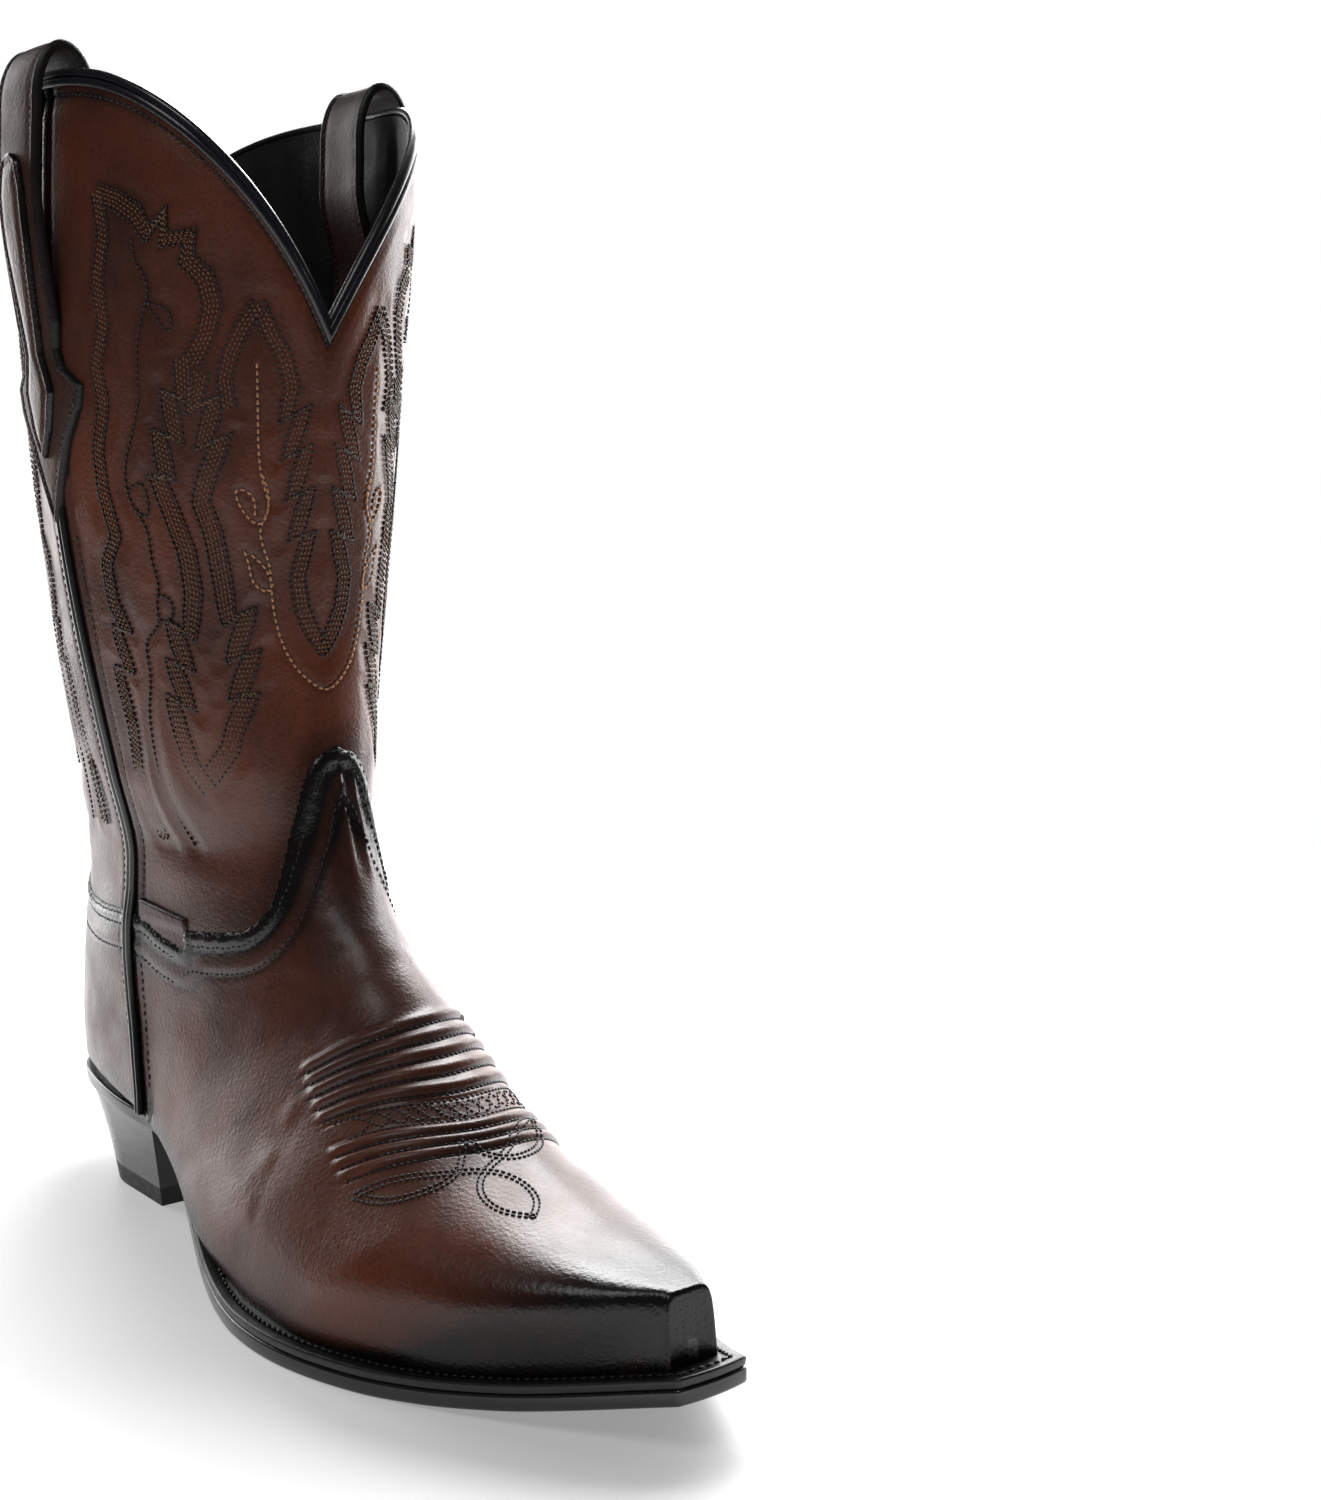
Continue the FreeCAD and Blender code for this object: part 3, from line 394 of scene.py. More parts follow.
def grid_faces(rows, columns, start=0, flip=False):
    """Quads of a rows by columns grid of vertices."""
    at = start + np.arange(rows * columns).reshape(rows, columns)
    quads = np.stack([at[:-1, :-1], at[:-1, 1:], at[1:, 1:], at[1:, :-1]], -1).reshape(-1, 4)
    return quads[:, ::-1] if flip else quads


def thick_grid(outer, inner, flip=False):
    """Vertices and faces of a closed sheet between two matching grids of points."""
    rows, columns = outer.shape[:2]
    count = rows * columns
    vertices = np.concatenate([outer.reshape(-1, 3), inner.reshape(-1, 3)])
    at = np.arange(count).reshape(rows, columns)
    border = np.concatenate([at[0, :], at[1:, -1], at[-1, -2::-1], at[-2:0:-1, 0]])
    following = np.roll(border, -1)
    rim = np.stack([border, border + count, following + count, following], -1)
    faces = [grid_faces(rows, columns, 0, flip), grid_faces(rows, columns, count, not flip),
             rim if flip else rim[:, ::-1]]
    return vertices, np.concatenate(faces)


def nearest(targets, points):
    """Distance from each point to the nearest of the targets."""
    tree = KDTree(len(targets))
    for index, target in enumerate(targets):
        tree.insert(target, index)
    tree.balance()
    return np.array([tree.find(point)[2] for point in points])


def resample(points, pitch):
    """Points at an even pitch along a polyline, and the unit directions there."""
    points = np.asarray(points, float)
    lengths = run_lengths(points)
    count = max(2, int(round(lengths[-1] / pitch)) + 1)
    at = np.linspace(0, lengths[-1], count)
    spaced = np.stack([np.interp(at, lengths, points[:, k]) for k in range(points.shape[1])], -1)
    return spaced, unit(np.gradient(spaced, axis=0))


def rounded(points, pitch=1.0):
    """A smooth curve through a few points, resampled at an even pitch."""
    points = np.asarray(points, float)
    chord = run_lengths(points)
    count = len(points)
    gaps = np.diff(chord)
    system, right = np.eye(count), np.zeros((count, points.shape[1]))
    for k in range(1, count - 1):
        system[k, k - 1:k + 2] = gaps[k - 1], 2 * (gaps[k - 1] + gaps[k]), gaps[k]
        right[k] = 6 * ((points[k + 1] - points[k]) / gaps[k] - (points[k] - points[k - 1]) / gaps[k - 1])
    bend = np.linalg.solve(system, right)
    at = np.linspace(0, chord[-1], max(8, int(chord[-1] / pitch) + 1))
    span = np.clip(np.searchsorted(chord, at) - 1, 0, count - 2)
    a = (chord[span + 1] - at)[:, None]
    b = (at - chord[span])[:, None]
    g = gaps[span][:, None]
    return (bend[span] * a ** 3 / (6 * g) + bend[span + 1] * b ** 3 / (6 * g)
            + (points[span] / g - bend[span] * g / 6) * a
            + (points[span + 1] / g - bend[span + 1] * g / 6) * b)


class Thread:
    """Stitches collected for one piece: each is a short spindle of eight sides lying along its row."""

    def __init__(self):
        self.vertices, self.faces, self.count = [], [], 0

    def sew(self, line, normals, pitch=2.2, cover=0.74, radius=0.34, lift=0.12, shifted=False):
        """Stitches at an even pitch along a 3-D line with surface normals, half a pitch on if shifted."""
        if len(line) < 3:
            return
        both, along = resample(np.hstack([line, normals]), pitch)
        if shifted:
            both, along = (both[1:] + both[:-1]) / 2, along[:-1]
        centres, up = both[:, :3], both[:, 3:]
        along = unit(along[:, :3])
        up = unit(up - along * np.sum(up * along, axis=1, keepdims=True))
        out = np.cross(along, up)
        half = pitch * cover / 2
        rings = [centres - along * half - up * radius * 0.7]
        for step in (-0.55, 0.55):
            middle = centres + along * half * step + up * lift
            for turn in range(4):
                angle = math.pi / 4 + turn * math.pi / 2
                rings.append(middle + radius * (out * math.cos(angle) + up * math.sin(angle)))
        rings.append(centres + along * half - up * radius * 0.7)
        block = np.stack(rings, 1)
        count = len(centres)
        faces = []
        for turn in range(4):
            after = (turn + 1) % 4
            faces.append((0, 1 + after, 1 + turn, -1))
            faces.append((1 + turn, 1 + after, 5 + after, 5 + turn))
            faces.append((9, 5 + turn, 5 + after, -1))
        for number in range(count):
            base = self.count + number * 10
            for face in faces:
                self.faces.append([base + corner for corner in face if corner >= 0])
        self.vertices.append(block.reshape(-1, 3))
        self.count += count * 10

    def make(self, name, material, slot):
        return make_piece(name, np.concatenate(self.vertices), self.faces, material, slot, clean=False)


def closed_rings(rings):
    """Vertices and faces of a closed body through rings of points, capped at both ends."""
    at = np.arange(rings.shape[0] * rings.shape[1]).reshape(rings.shape[:2])
    following = np.roll(at, -1, axis=1)
    walls = np.stack([at[:-1], following[:-1], following[1:], at[1:]], -1).reshape(-1, 4)
    return rings.reshape(-1, 3), [list(face) for face in walls] + [list(at[0][::-1]), list(at[-1])]


def tube(line, up, radii, mitre=None):
    """A closed round cord along a line: radii across it and up from it. It starts cut flat at y = mitre."""
    run = unit(np.gradient(line, axis=0))
    across = np.cross(run, up)
    rings = []
    for turn in range(CORD_SIDES):
        angle = 2 * math.pi * turn / CORD_SIDES
        rings.append(line + across * radii[0] * math.cos(angle) + up * radii[1] * math.sin(angle))
    rings = np.stack(rings, 1)
    if mitre is not None:
        rings[0] += run[0] * ((mitre - rings[0, :, 1]) / run[0, 1])[:, None]
    return closed_rings(rings)


def combine(parts):
    """One list of vertices and faces from several."""
    vertices, faces, count = [], [], 0
    for points, polygons in parts:
        vertices.append(np.asarray(points))
        faces += [[corner + count for corner in face] for face in polygons]
        count += len(points)
    return np.concatenate(vertices), faces


TREES = {}


def remember(name, vertices, faces):
    """Keep a piece's outer skin, in millimetres, to lay stitches on it."""
    TREES[name] = BVHTree.FromPolygons([tuple(v) for v in vertices], [list(f) for f in faces])


# ---------------------------------------------------------------- materials

def rgb(red, green, blue):
    """A linear colour from 0-255 screen values."""
    def linear(value):
        value /= 255
        return value / 12.92 if value <= 0.04045 else ((value + 0.055) / 1.055) ** 2.4
    return (linear(red), linear(green), linear(blue), 1.0)


class Nodes:
    """A short way to write a node material."""

    def __init__(self, name):
        self.material = bpy.data.materials.new(name)
        self.material.use_nodes = True
        self.tree = self.material.node_tree
        self.tree.nodes.clear()
        self.output = self.add("ShaderNodeOutputMaterial")
        self.shader = self.add("ShaderNodeBsdfPrincipled")
        self.link(self.shader, "BSDF", self.output, "Surface")
        self.place = self.add("ShaderNodeTexCoord")

    def add(self, kind):
        return self.tree.nodes.new(kind)

    def link(self, source, output, target, socket):
        self.tree.links.new(source.outputs[output], target.inputs[socket])

    def noise(self, scale, detail=3.0, roughness=0.55, stretch=None):
        node = self.add("ShaderNodeTexNoise")
        node.inputs["Scale"].default_value = scale
        node.inputs["Detail"].default_value = detail
        node.inputs["Roughness"].default_value = roughness
        source, output = self.place, "Object"
        if stretch is not None:
            source, output = self.add("ShaderNodeMapping"), "Vector"
            source.inputs["Scale"].default_value = stretch
            self.link(self.place, "Object", source, "Vector")
        self.link(source, output, node, "Vector")
        return node

    def cells(self, scale):
        node = self.add("ShaderNodeTexVoronoi")
        node.inputs["Scale"].default_value = scale
        self.link(self.place, "Object", node, "Vector")
        return node

    def spread(self, source, output, low, high, to_low=0.0, to_high=1.0):
        """A value remapped from one range to another, held at the ends."""
        node = self.add("ShaderNodeMapRange")
        for key, value in (("From Min", low), ("From Max", high), ("To Min", to_low), ("To Max", to_high)):
            node.inputs[key].default_value = value
        self.link(source, output, node, "Value")
        return node

    def mix(self, factor, one, two):
        """Colours mixed; each of one and two is a colour or a mix made before."""
        node = self.add("ShaderNodeMix")
        node.data_type = "RGBA"
        source, output = factor
        self.tree.links.new(source.outputs[output], node.inputs[0])
        for socket, colour in ((6, one), (7, two)):
            if isinstance(colour, tuple):
                node.inputs[socket].default_value = colour
            else:
                self.tree.links.new(colour.outputs[2], node.inputs[socket])
        return node

    def calculate(self, operation, one, two):
        node = self.add("ShaderNodeMath")
        node.operation = operation
        for socket, value in ((0, one), (1, two)):
            if isinstance(value, (int, float)):
                node.inputs[socket].default_value = value
            else:
                self.tree.links.new(value[0].outputs[value[1]], node.inputs[socket])
        return node

    def colour(self, source):
        self.tree.links.new(source.outputs[2], self.shader.inputs["Base Color"])

    def bumps(self, heights):
        """Bump from several (node, output, depth in metres) layers, chained."""
        before = None
        for node, output, depth in heights:
            bump_node = self.add("ShaderNodeBump")
            bump_node.inputs["Strength"].default_value = 1.0
            bump_node.inputs["Distance"].default_value = depth
            self.link(node, output, bump_node, "Height")
            if before:
                self.link(before, "Normal", bump_node, "Normal")
            before = bump_node
        self.link(before, "Normal", self.shader, "Normal")


def leather_material(name, colour, deep, burnt_and_shade, rough=(0.30, 0.46), coat=0.15, grain=1.0, warm=None):
    """Hand-burnished leather: blotches, a darkening by vertex that is darker and glossier (partly real
    burnishing, partly painted shade in grooves and hollows), and grain.
    """
    m = Nodes(name)
    clouds = m.noise(26, 5, 0.62)
    streaks = m.noise(60, 4, 0.6, stretch=(1.0, 1.0, 0.35))
    specks = m.noise(900, 2, 0.5)
    pebble = m.cells(760)
    creases = m.noise(240, 3, 0.6)
    pores = m.cells(1900)
    blotch = m.spread(clouds, "Fac", 0.36, 0.66)
    body = m.mix((blotch, "Result"), colour, deep)
    if warm:
        glow = m.spread(m.noise(15, 3, 0.5), "Fac", 0.42, 0.64)
        body = m.mix((glow, "Result"), body, warm)
    streak = m.spread(streaks, "Fac", 0.52, 0.74, 0.0, 0.55)
    body = m.mix((streak, "Result"), body, deep)
    speck = m.spread(specks, "Fac", 0.50, 0.72, 0.0, 0.35)
    body = m.mix((speck, "Result"), body, burnt_and_shade)
    # the darkening by vertex mixes toward the near-black colour: real burnishing, and painted shade in
    # grooves and hollows
    burnish_and_shade = m.add("ShaderNodeAttribute")
    burnish_and_shade.attribute_name = "burnish_and_shade"
    patchy = m.spread(clouds, "Fac", 0.3, 0.6, 0.85, 1.15)
    uneven = m.calculate("MULTIPLY", (burnish_and_shade, "Fac"), (patchy, "Result"))
    held = m.calculate("MINIMUM", (uneven, "Value"), 1.0)
    m.colour(m.mix((held, "Value"), body, burnt_and_shade))
    gloss = m.spread(m.noise(70, 4, 0.6), "Fac", 0.3, 0.7, *rough)
    polish = m.calculate("MULTIPLY", (held, "Value"), -0.11)
    m.link(m.calculate("ADD", (gloss, "Result"), (polish, "Value")), "Value", m.shader, "Roughness")
    m.shader.inputs["Specular IOR Level"].default_value = 0.32
    m.shader.inputs["Coat Weight"].default_value = coat
    m.shader.inputs["Coat Roughness"].default_value = 0.2
    m.bumps([(creases, "Fac", 0.00005 * grain), (pebble, "Distance", 0.00008 * grain),
             (pores, "Distance", 0.00004 * grain)])
    return m.material


def thread_material(name, colour, dark):
    """Twisted thread: fine diagonal lay and a soft sheen."""
    m = Nodes(name)
    lay = m.add("ShaderNodeTexWave")
    lay.wave_type = "BANDS"
    lay.bands_direction = "DIAGONAL"
    lay.inputs["Scale"].default_value = 900
    lay.inputs["Distortion"].default_value = 2.0
    m.link(m.place, "Object", lay, "Vector")
    m.colour(m.mix((lay, "Fac"), colour, dark))
    m.shader.inputs["Roughness"].default_value = 0.48
    m.bumps([(lay, "Fac", 0.00005)])
    return m.material


def solid_material(name, colour, dark, rough, scale=120, stretch=None, depth=0.00006, metal=0.0, coat=0.0):
    """A hard material with two shades, uneven gloss and a fine surface."""
    m = Nodes(name)
    patch = m.noise(scale, 4, 0.6, stretch=stretch)
    shade = m.spread(patch, "Fac", 0.35, 0.65)
    m.colour(m.mix((shade, "Result"), colour, dark))
    m.link(m.spread(patch, "Fac", 0.3, 0.7, *rough), "Result", m.shader, "Roughness")
    m.shader.inputs["Metallic"].default_value = metal
    m.shader.inputs["Coat Weight"].default_value = coat
    m.shader.inputs["Coat Roughness"].default_value = 0.15
    m.bumps([(patch, "Fac", depth), (m.noise(1500, 2), "Fac", depth * 0.4)])
    return m.material


BROWN = leather_material("burnished_brown_leather_with_painted_shade", rgb(82, 44, 32), rgb(54, 31, 26), rgb(15, 11, 11),
                         warm=rgb(98, 50, 32))
DARK = leather_material("dark_brown_leather", rgb(66, 37, 28), rgb(44, 26, 21), rgb(14, 10, 9),
                        rough=(0.46, 0.6), coat=0.0)
OVERLAY = leather_material("overlay_leather", rgb(76, 38, 30), rgb(50, 28, 24), rgb(14, 10, 10), coat=0.15)
BLACK = leather_material("black_leather", rgb(20, 22, 28), rgb(14, 15, 19), rgb(8, 8, 10), rough=(0.24, 0.38),
                         coat=0.45, grain=0.6)
LINING = leather_material("black_lining_leather", rgb(17, 16, 16), rgb(10, 10, 11), rgb(5, 5, 5),
                          rough=(0.5, 0.68), coat=0.0, grain=1.3)
TAB = leather_material("tab_leather", rgb(72, 30, 24), rgb(48, 23, 20), rgb(13, 9, 10))
THREAD_DARK = thread_material("dark_thread", rgb(24, 17, 16), rgb(11, 8, 8))
THREAD_BRONZE = thread_material("bronze_thread", rgb(136, 100, 72), rgb(44, 30, 23))
THREAD_LIGHT = thread_material("tan_thread", rgb(196, 144, 102), rgb(120, 78, 54))
THREAD_BLACK = thread_material("black_thread", rgb(20, 20, 22), rgb(9, 9, 10))
EDGE = solid_material("dressed_sole_edge", rgb(20, 20, 23), rgb(11, 11, 13), (0.22, 0.38), scale=60,
                      coat=0.35, stretch=(1, 1, 4))
WELT = solid_material("black_welt_leather", rgb(17, 16, 19), rgb(10, 10, 11), (0.34, 0.5), scale=300,
                      coat=0.15)
HEEL = solid_material("dressed_stacked_leather", rgb(14, 14, 16), rgb(8, 8, 9), (0.22, 0.34), scale=50,
                      stretch=(1, 1, 6), coat=0.5)
RUBBER = solid_material("heel_rubber", rgb(18, 18, 20), rgb(11, 11, 12), (0.45, 0.62), scale=400,
                        depth=0.0001)
CORK = solid_material("cork_paste", rgb(150, 108, 70), rgb(92, 60, 38), (0.7, 0.9), scale=500, depth=0.0003)
STEEL = solid_material("spring_steel", rgb(150, 152, 156), rgb(110, 112, 118), (0.25, 0.45), scale=200,
                       metal=1.0, stretch=(0.1, 1, 1))
BRASS = solid_material("brass_nail", rgb(178, 142, 74), rgb(120, 92, 50), (0.25, 0.5), scale=500, metal=1.0)
WOOD = solid_material("lemonwood_peg", rgb(198, 160, 104), rgb(150, 112, 66), (0.5, 0.7), scale=300,
                      stretch=(1, 1, 0.1))
INSOLE = leather_material("insole_leather", rgb(168, 124, 84), rgb(132, 92, 60), rgb(80, 54, 36),
                          rough=(0.5, 0.7), coat=0.0)
SOCK = leather_material("sock_leather", rgb(34, 30, 30), rgb(22, 20, 20), rgb(10, 10, 10), rough=(0.45, 0.6),
                        coat=0.0)

# ---------------------------------------------------------------- shaft panels

# Fancy stitching of one half of a panel: distance round from the front or back line, height.
SCROLL = [(75, 318), (67, 315.5), (60, 311.5), (55.5, 305.5), (50.5, 311), (50.5, 303.5), (42, 304.5),
          (43, 298), (37, 293), (34.5, 285), (36, 277), (40, 269)]
FLAME_OUTER = [(43, 270), (42, 258), (47.5, 260.5), (44.5, 246.5), (50.5, 249), (47.5, 235), (51.5, 237),
               (46.5, 226), (41.5, 214), (39.5, 202), (41, 189), (47, 192.5), (42.5, 178.5), (48, 181.5),
               (43.5, 167), (49.5, 170), (48, 159), (45.5, 149), (40.5, 142)]
FLAME_INNER = [(37.5, 266), (39.5, 255.5), (32.5, 258.5), (36.5, 244.5), (30.5, 247.5), (35, 236),
               (37, 229), (33, 219), (30.5, 206), (28.5, 193.5), (22.5, 196.5), (27.5, 181.5),
               (21.5, 184.5), (27.5, 169.5), (22.5, 172.5), (29, 161), (31, 155), (38.5, 147)]
ALMOND_OUTER = [(21.5, 285), (25.5, 279), (28.8, 271), (30.3, 264), (28.8, 256)]
ALMOND_INNER = [(21.5, 285), (17.5, 277.5), (13, 270), (10.6, 262), (12.5, 252.5), (6.5, 256),
                (11.5, 241.5), (5.5, 245), (10, 229.5), (4.8, 232.5), (9.2, 217), (4.4, 220), (8, 206),
                (6.6, 197), (3.8, 190.5), (0, 184.5)]
SIDE_BAND = [(75, 318), (72, 306), (74, 293), (71, 280), (74, 268), (71, 257), (74, 244), (72.5, 232),
             (67.5, 218), (72.5, 210), (70.5, 198), (64.5, 189), (70.5, 191), (65.5, 177), (71.5, 178),
             (69.5, 160), (71, 148), (70, 136), (68, 124)]
VINE = [(21, 268), (20.4, 256), (20, 244), (18.2, 233), (17, 227), (19, 221.5), (16.8, 211), (15.8, 202),
        (14, 191), (10, 181), (4.5, 174.8), (0, 172.6)]
VINE_LOOPS = [[(18.6, 236), (16.9, 229), (19.4, 222.4), (23.4, 225), (25.6, 232.4), (22.2, 231),
               (20.8, 225.5)],
              [(23.8, 214.6), (22.2, 209.4), (20.4, 204.2), (16.1, 202.4), (17.6, 209), (22, 213.4)]]
SIDE_VINE = [(61, 304), (59.5, 298), (56, 293.5), (55.2, 286), (57, 280), (58, 270), (57.4, 259), (60, 248),
             (62.5, 240), (61, 229), (55, 220), (53.2, 210), (51.4, 204), (52.2, 198), (52, 192.4),
             (56.6, 187), (57, 178), (59.4, 167), (61, 156), (60.4, 144), (57.5, 133), (54, 124)]
SIDE_LOOPS = [[(55.2, 286), (50.4, 285), (46.6, 281.4), (47.4, 277.6), (51, 281), (54.4, 284.4)],
              [(61.5, 232), (57.6, 234), (54.6, 230), (55.4, 224.4), (58.6, 226)],
              [(52.6, 201), (48.6, 200.4), (46.4, 196.6), (48.6, 193), (52, 193.8)]]


def mirrored(line):
    """A half line joined at the middle to its mirror image, as one line of signed distances."""
    return line + [(-s, z) for s, z in line[-2::-1]]


BANDS = [(SCROLL, 6), (FLAME_OUTER, 6), (FLAME_INNER, 6), (ALMOND_OUTER, 5), (SIDE_BAND, 5)]  # line, rows
ROW_SPACE = 1.15
RIM_ROW = 5.0        # the rim's stitch row below the rim
COLLAR_LAP = 5.0     # how far the shaft goes on under the collar
PANEL_REACH = 90.0   # about the width of half a panel
VINES = [SIDE_VINE] + SIDE_LOOPS + VINE_LOOPS


def parallel_rows(line, rows, space):
    """Rows beside a line, each the line moved across its general run, so that teeth stay sharp."""
    points, run = resample(line, 0.6)
    side = np.stack([-run[:, 1], run[:, 0]], -1)
    reach = min(14, len(side) // 3)
    padded = np.pad(side, ((reach, reach), (0, 0)), mode="edge")
    side = sum(padded[shift:shift + len(side)] for shift in range(2 * reach + 1))
    side = unit(side)
    return [points + side * space * (number - (rows - 1) / 2) for number in range(rows)]


def pattern_lines():
    """Every stitched line of a whole panel as (points, kind), in signed distance and height."""
    lines = []
    for line, rows in BANDS:
        for number, row in enumerate(parallel_rows(line, rows, ROW_SPACE)):
            kind = "border" if number in (0, rows - 1) else "fill"
            for sign in (1, -1):
                lines.append((row * (sign, 1), kind))
    for number, row in enumerate(parallel_rows(mirrored(ALMOND_INNER), 5, ROW_SPACE)):
        lines.append((row, "border" if number in (0, 4) else "fill"))
    for vine in VINES:
        smooth = rounded(vine, 0.8)
        for sign in (1, -1):
            lines.append((smooth * (sign, 1), "vine" if vine in VINE_LOOPS else "border"))
    lines.append((rounded(mirrored(VINE), 0.8), "vine"))
    return lines


PATTERN = pattern_lines()
band_samples = np.concatenate([line for line, kind in PATTERN if kind != "vine"])
vine_samples = np.concatenate([line for line, kind in PATTERN if kind == "vine"])


def flat3(points):
    """Plan points with a third coordinate of 0."""
    return np.column_stack([points, np.zeros(len(points))])


def shaft_relief(distance, z, below_rim):
    """How far the shaft's leather stands out by its quilting and rim fold, and how far the stitching is."""
    flat = flat3(np.column_stack([distance.ravel(), z.ravel()]))
    to_band = nearest(flat3(band_samples), flat).reshape(z.shape)
    to_vine = nearest(flat3(vine_samples), flat).reshape(z.shape)
    quilt = 0.55 * ramp(0.8, 6.5, to_band) - 0.30 * bump(to_vine, 1.0)
    fold = 0.35 * bump(below_rim - 2.4, 1.8) - 0.30 * bump(below_rim - RIM_ROW, 0.7)
    relief = quilt * ramp(5.5, 12.0, below_rim) + fold
    return relief, to_band, to_vine


def signed_surface(distance, z, behind):
    """Shaft points and normals at signed distances from the front or back line."""
    side = np.where(distance >= 0, LATERAL, MEDIAL)
    share = np.abs(distance) / girth(z, side)
    if behind:
        share = 1 - share
    return (*shaft_surface(share, z, side), share, side)


def seam_to_seam(behind, q, side, z):
    """Shares of the way round at shares q from the middle line to the side seams."""
    seam = seam_share(z, side)
    return 1 - (1 - seam) * np.abs(q) if behind else seam * np.abs(q)


def panel_grid(behind, rows, half_columns, under_rim):
    """A panel's places, seam to seam and collar to rim: share across, side, share round, height and top."""
    q = np.linspace(-1, 1, 2 * half_columns + 1)[None, :]
    side = np.where(q >= 0, LATERAL, MEDIAL)
    z = np.full((rows, q.shape[1]), 220.0)
    for _ in range(6):   # the seam leans, so shares and heights settle together
        share = seam_to_seam(behind, q, side, z)
        low = line_at(COLLAR, share, side) - COLLAR_LAP
        high = line_at(RIM, share, side) - under_rim
        z = low + (high - low) * np.linspace(0, 1, rows)[:, None]
    return q, side, share, z, high


def shaft_panel(name, behind, rows, half_columns):
    """One leather panel of the shaft."""
    q, side, share, z, high = panel_grid(behind, rows, half_columns, 0.0)
    points, normals = shaft_surface(share, z, side)
    distance = np.sign(q) * np.abs(share - (1.0 if behind else 0.0)) * girth(z, side)
    below_rim = high - z
    to_seam = (1 - np.abs(q)) * PANEL_REACH
    relief, to_band, to_vine = shaft_relief(distance, z, below_rim)
    soft = lumps(points, 34.0, 4) * 0.5 + lumps(points, 12.0, 5) * 0.12
    ankle = bump(z - 128, 26) * lumps(points * (1, 1, 3.2), 30.0, 6) * 0.8
    relief = relief + (soft + ankle) * ramp(4, 18, below_rim) * ramp(0, 14, to_seam)
    relief = relief + 0.45 * bump(to_seam - 4.5, 1.6) - 0.3 * bump(to_seam - 7.4, 0.7)
    outer = points + normals * (relief - 0.15)[..., None]
    inner = points - normals * LEATHER
    vertices, faces = thick_grid(outer, inner)
    # Darkness by vertex: burnished rim, seam and collar edges, a darker stitched band, and darker toward the
    # top at the sides; painted shade in the rim row's groove and along the sunken vine rows.
    dark = (0.16 * bump(to_band, 1.4) + 0.5 * bump(below_rim, 5.5) + 0.85 * bump(to_seam, 7.0)
            + 0.4 * bump(z - line_at(COLLAR, share, side), 8.0) + 0.5 * bump(below_rim - RIM_ROW, 0.9)
            + 0.2 * bump(to_vine, 0.9) + 0.25 * ramp(250, 350, z) * ramp(30, 80, np.abs(distance)))
    make_piece(name, vertices, faces, BROWN, "brown_leather", (name,), sharp=50,
               burnish_and_shade=np.clip(dark, 0, 0.92).ravel())
    remember(name, outer.reshape(-1, 3), grid_faces(*outer.shape[:2]))


STITCHES = {  # depth of the row's foot, pitch, share of the pitch covered, radius and lift of the thread
    "border": (-0.05, 1.9, 0.86, 0.40, 0.16),
    "fill": (-0.08, 1.6, 0.66, 0.30, 0.20),
    "vine": (0.0, 2.1, 0.94, 0.46, 0.30),
}


def panel_thread(name, behind):
    """The fancy stitching of one panel: dark borders, bronze filling rows and tan vines."""
    threads = {kind: Thread() for kind in STITCHES}
    for number, (line, kind) in enumerate(PATTERN):
        z = line[:, 1]
        points, normals, share, side = signed_surface(line[:, 0], z, behind)
        seam = seam_share(z, side)
        limit = np.where(behind, share - seam, seam - share) * girth(z, side) > 5.5
        inside = limit & (z < line_at(RIM, share, side) - 8) & (z > line_at(COLLAR, share, side) + 1.5)
        start = None
        for index in range(len(line) + 1):
            here = index < len(line) and inside[index]
            if here and start is None:
                start = index
            elif not here and start is not None:
                if index - start > 3:
                    depth, pitch, cover, radius, lift = STITCHES[kind]
                    part = slice(start, index)
                    threads[kind].sew(points[part] + normals[part] * depth, normals[part], pitch=pitch,
                                      cover=cover, radius=radius, lift=lift, shifted=number % 4 > 1)
                start = None
    threads["border"].make(name + "_dark_thread", THREAD_DARK, "dark_leather")
    threads["fill"].make(name + "_bronze_thread", THREAD_BRONZE, "dark_leather")
    threads["vine"].make(name + "_tan_thread", THREAD_LIGHT, "brown_leather")


PANELS = (("shaft_front", False), ("shaft_back", True))   # name, whether it is behind the seams
PANEL_ROWS, PANEL_HALF = ((300, 112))
for name, behind in PANELS:
    shaft_panel(name, behind, PANEL_ROWS, PANEL_HALF)
    panel_thread(name, behind)

# ---------------------------------------------------------------- foot pieces

SPLIT_ANGLES = np.linspace(0, 1, 90)
warped = SPLIT_ANGLES ** 3 / (SPLIT_ANGLES ** 3 + (1 - SPLIT_ANGLES) ** 3)
SECTION_ANGLES = np.concatenate([warped, 1 + warped[1:]]) * math.pi / 2


def foot_grid(places, half_columns, inset):
    """Points of the foot's form: rows at places, columns from the lateral bottom over the top to the medial
    bottom, evenly spaced round each section. Places past 14 close the snipped toe."""
    shares = np.linspace(0, 1, half_columns + 1)
    u = np.minimum(places, 14.0)
    shrink = np.clip(places - 14.0, 0, 1)
    halves = []
    for side in (LATERAL, MEDIAL):
        dense = form_point(u[:, None], SECTION_ANGLES[None, :], side, inset)
        lengths = run_lengths(dense)
        half = np.zeros((len(u), len(shares), 3))
        for row in range(len(u)):
            for axis in range(3):
                half[row, :, axis] = np.interp(shares * lengths[row, -1], lengths[row], dense[row, :, axis])
        halves.append(half)
    grid = np.concatenate([halves[0][:, ::-1], halves[1][:, 1:]], axis=1)
    middle = station(u)
    centre = np.stack([(middle[:, 0] + middle[:, 2]) / 2, middle[:, 6],
                       (middle[:, 1] + middle[:, 3]) / 2], -1)
    grid = grid + (centre[:, None] - grid) * shrink[:, None, None]
    rounding = np.sqrt(1 - (1 - np.minimum(shrink / 0.08, 1)) ** 2) * 0.8
    grid[:, :, 0] += rounding[:, None] - inset * (places >= 14.0)[:, None]
    return grid


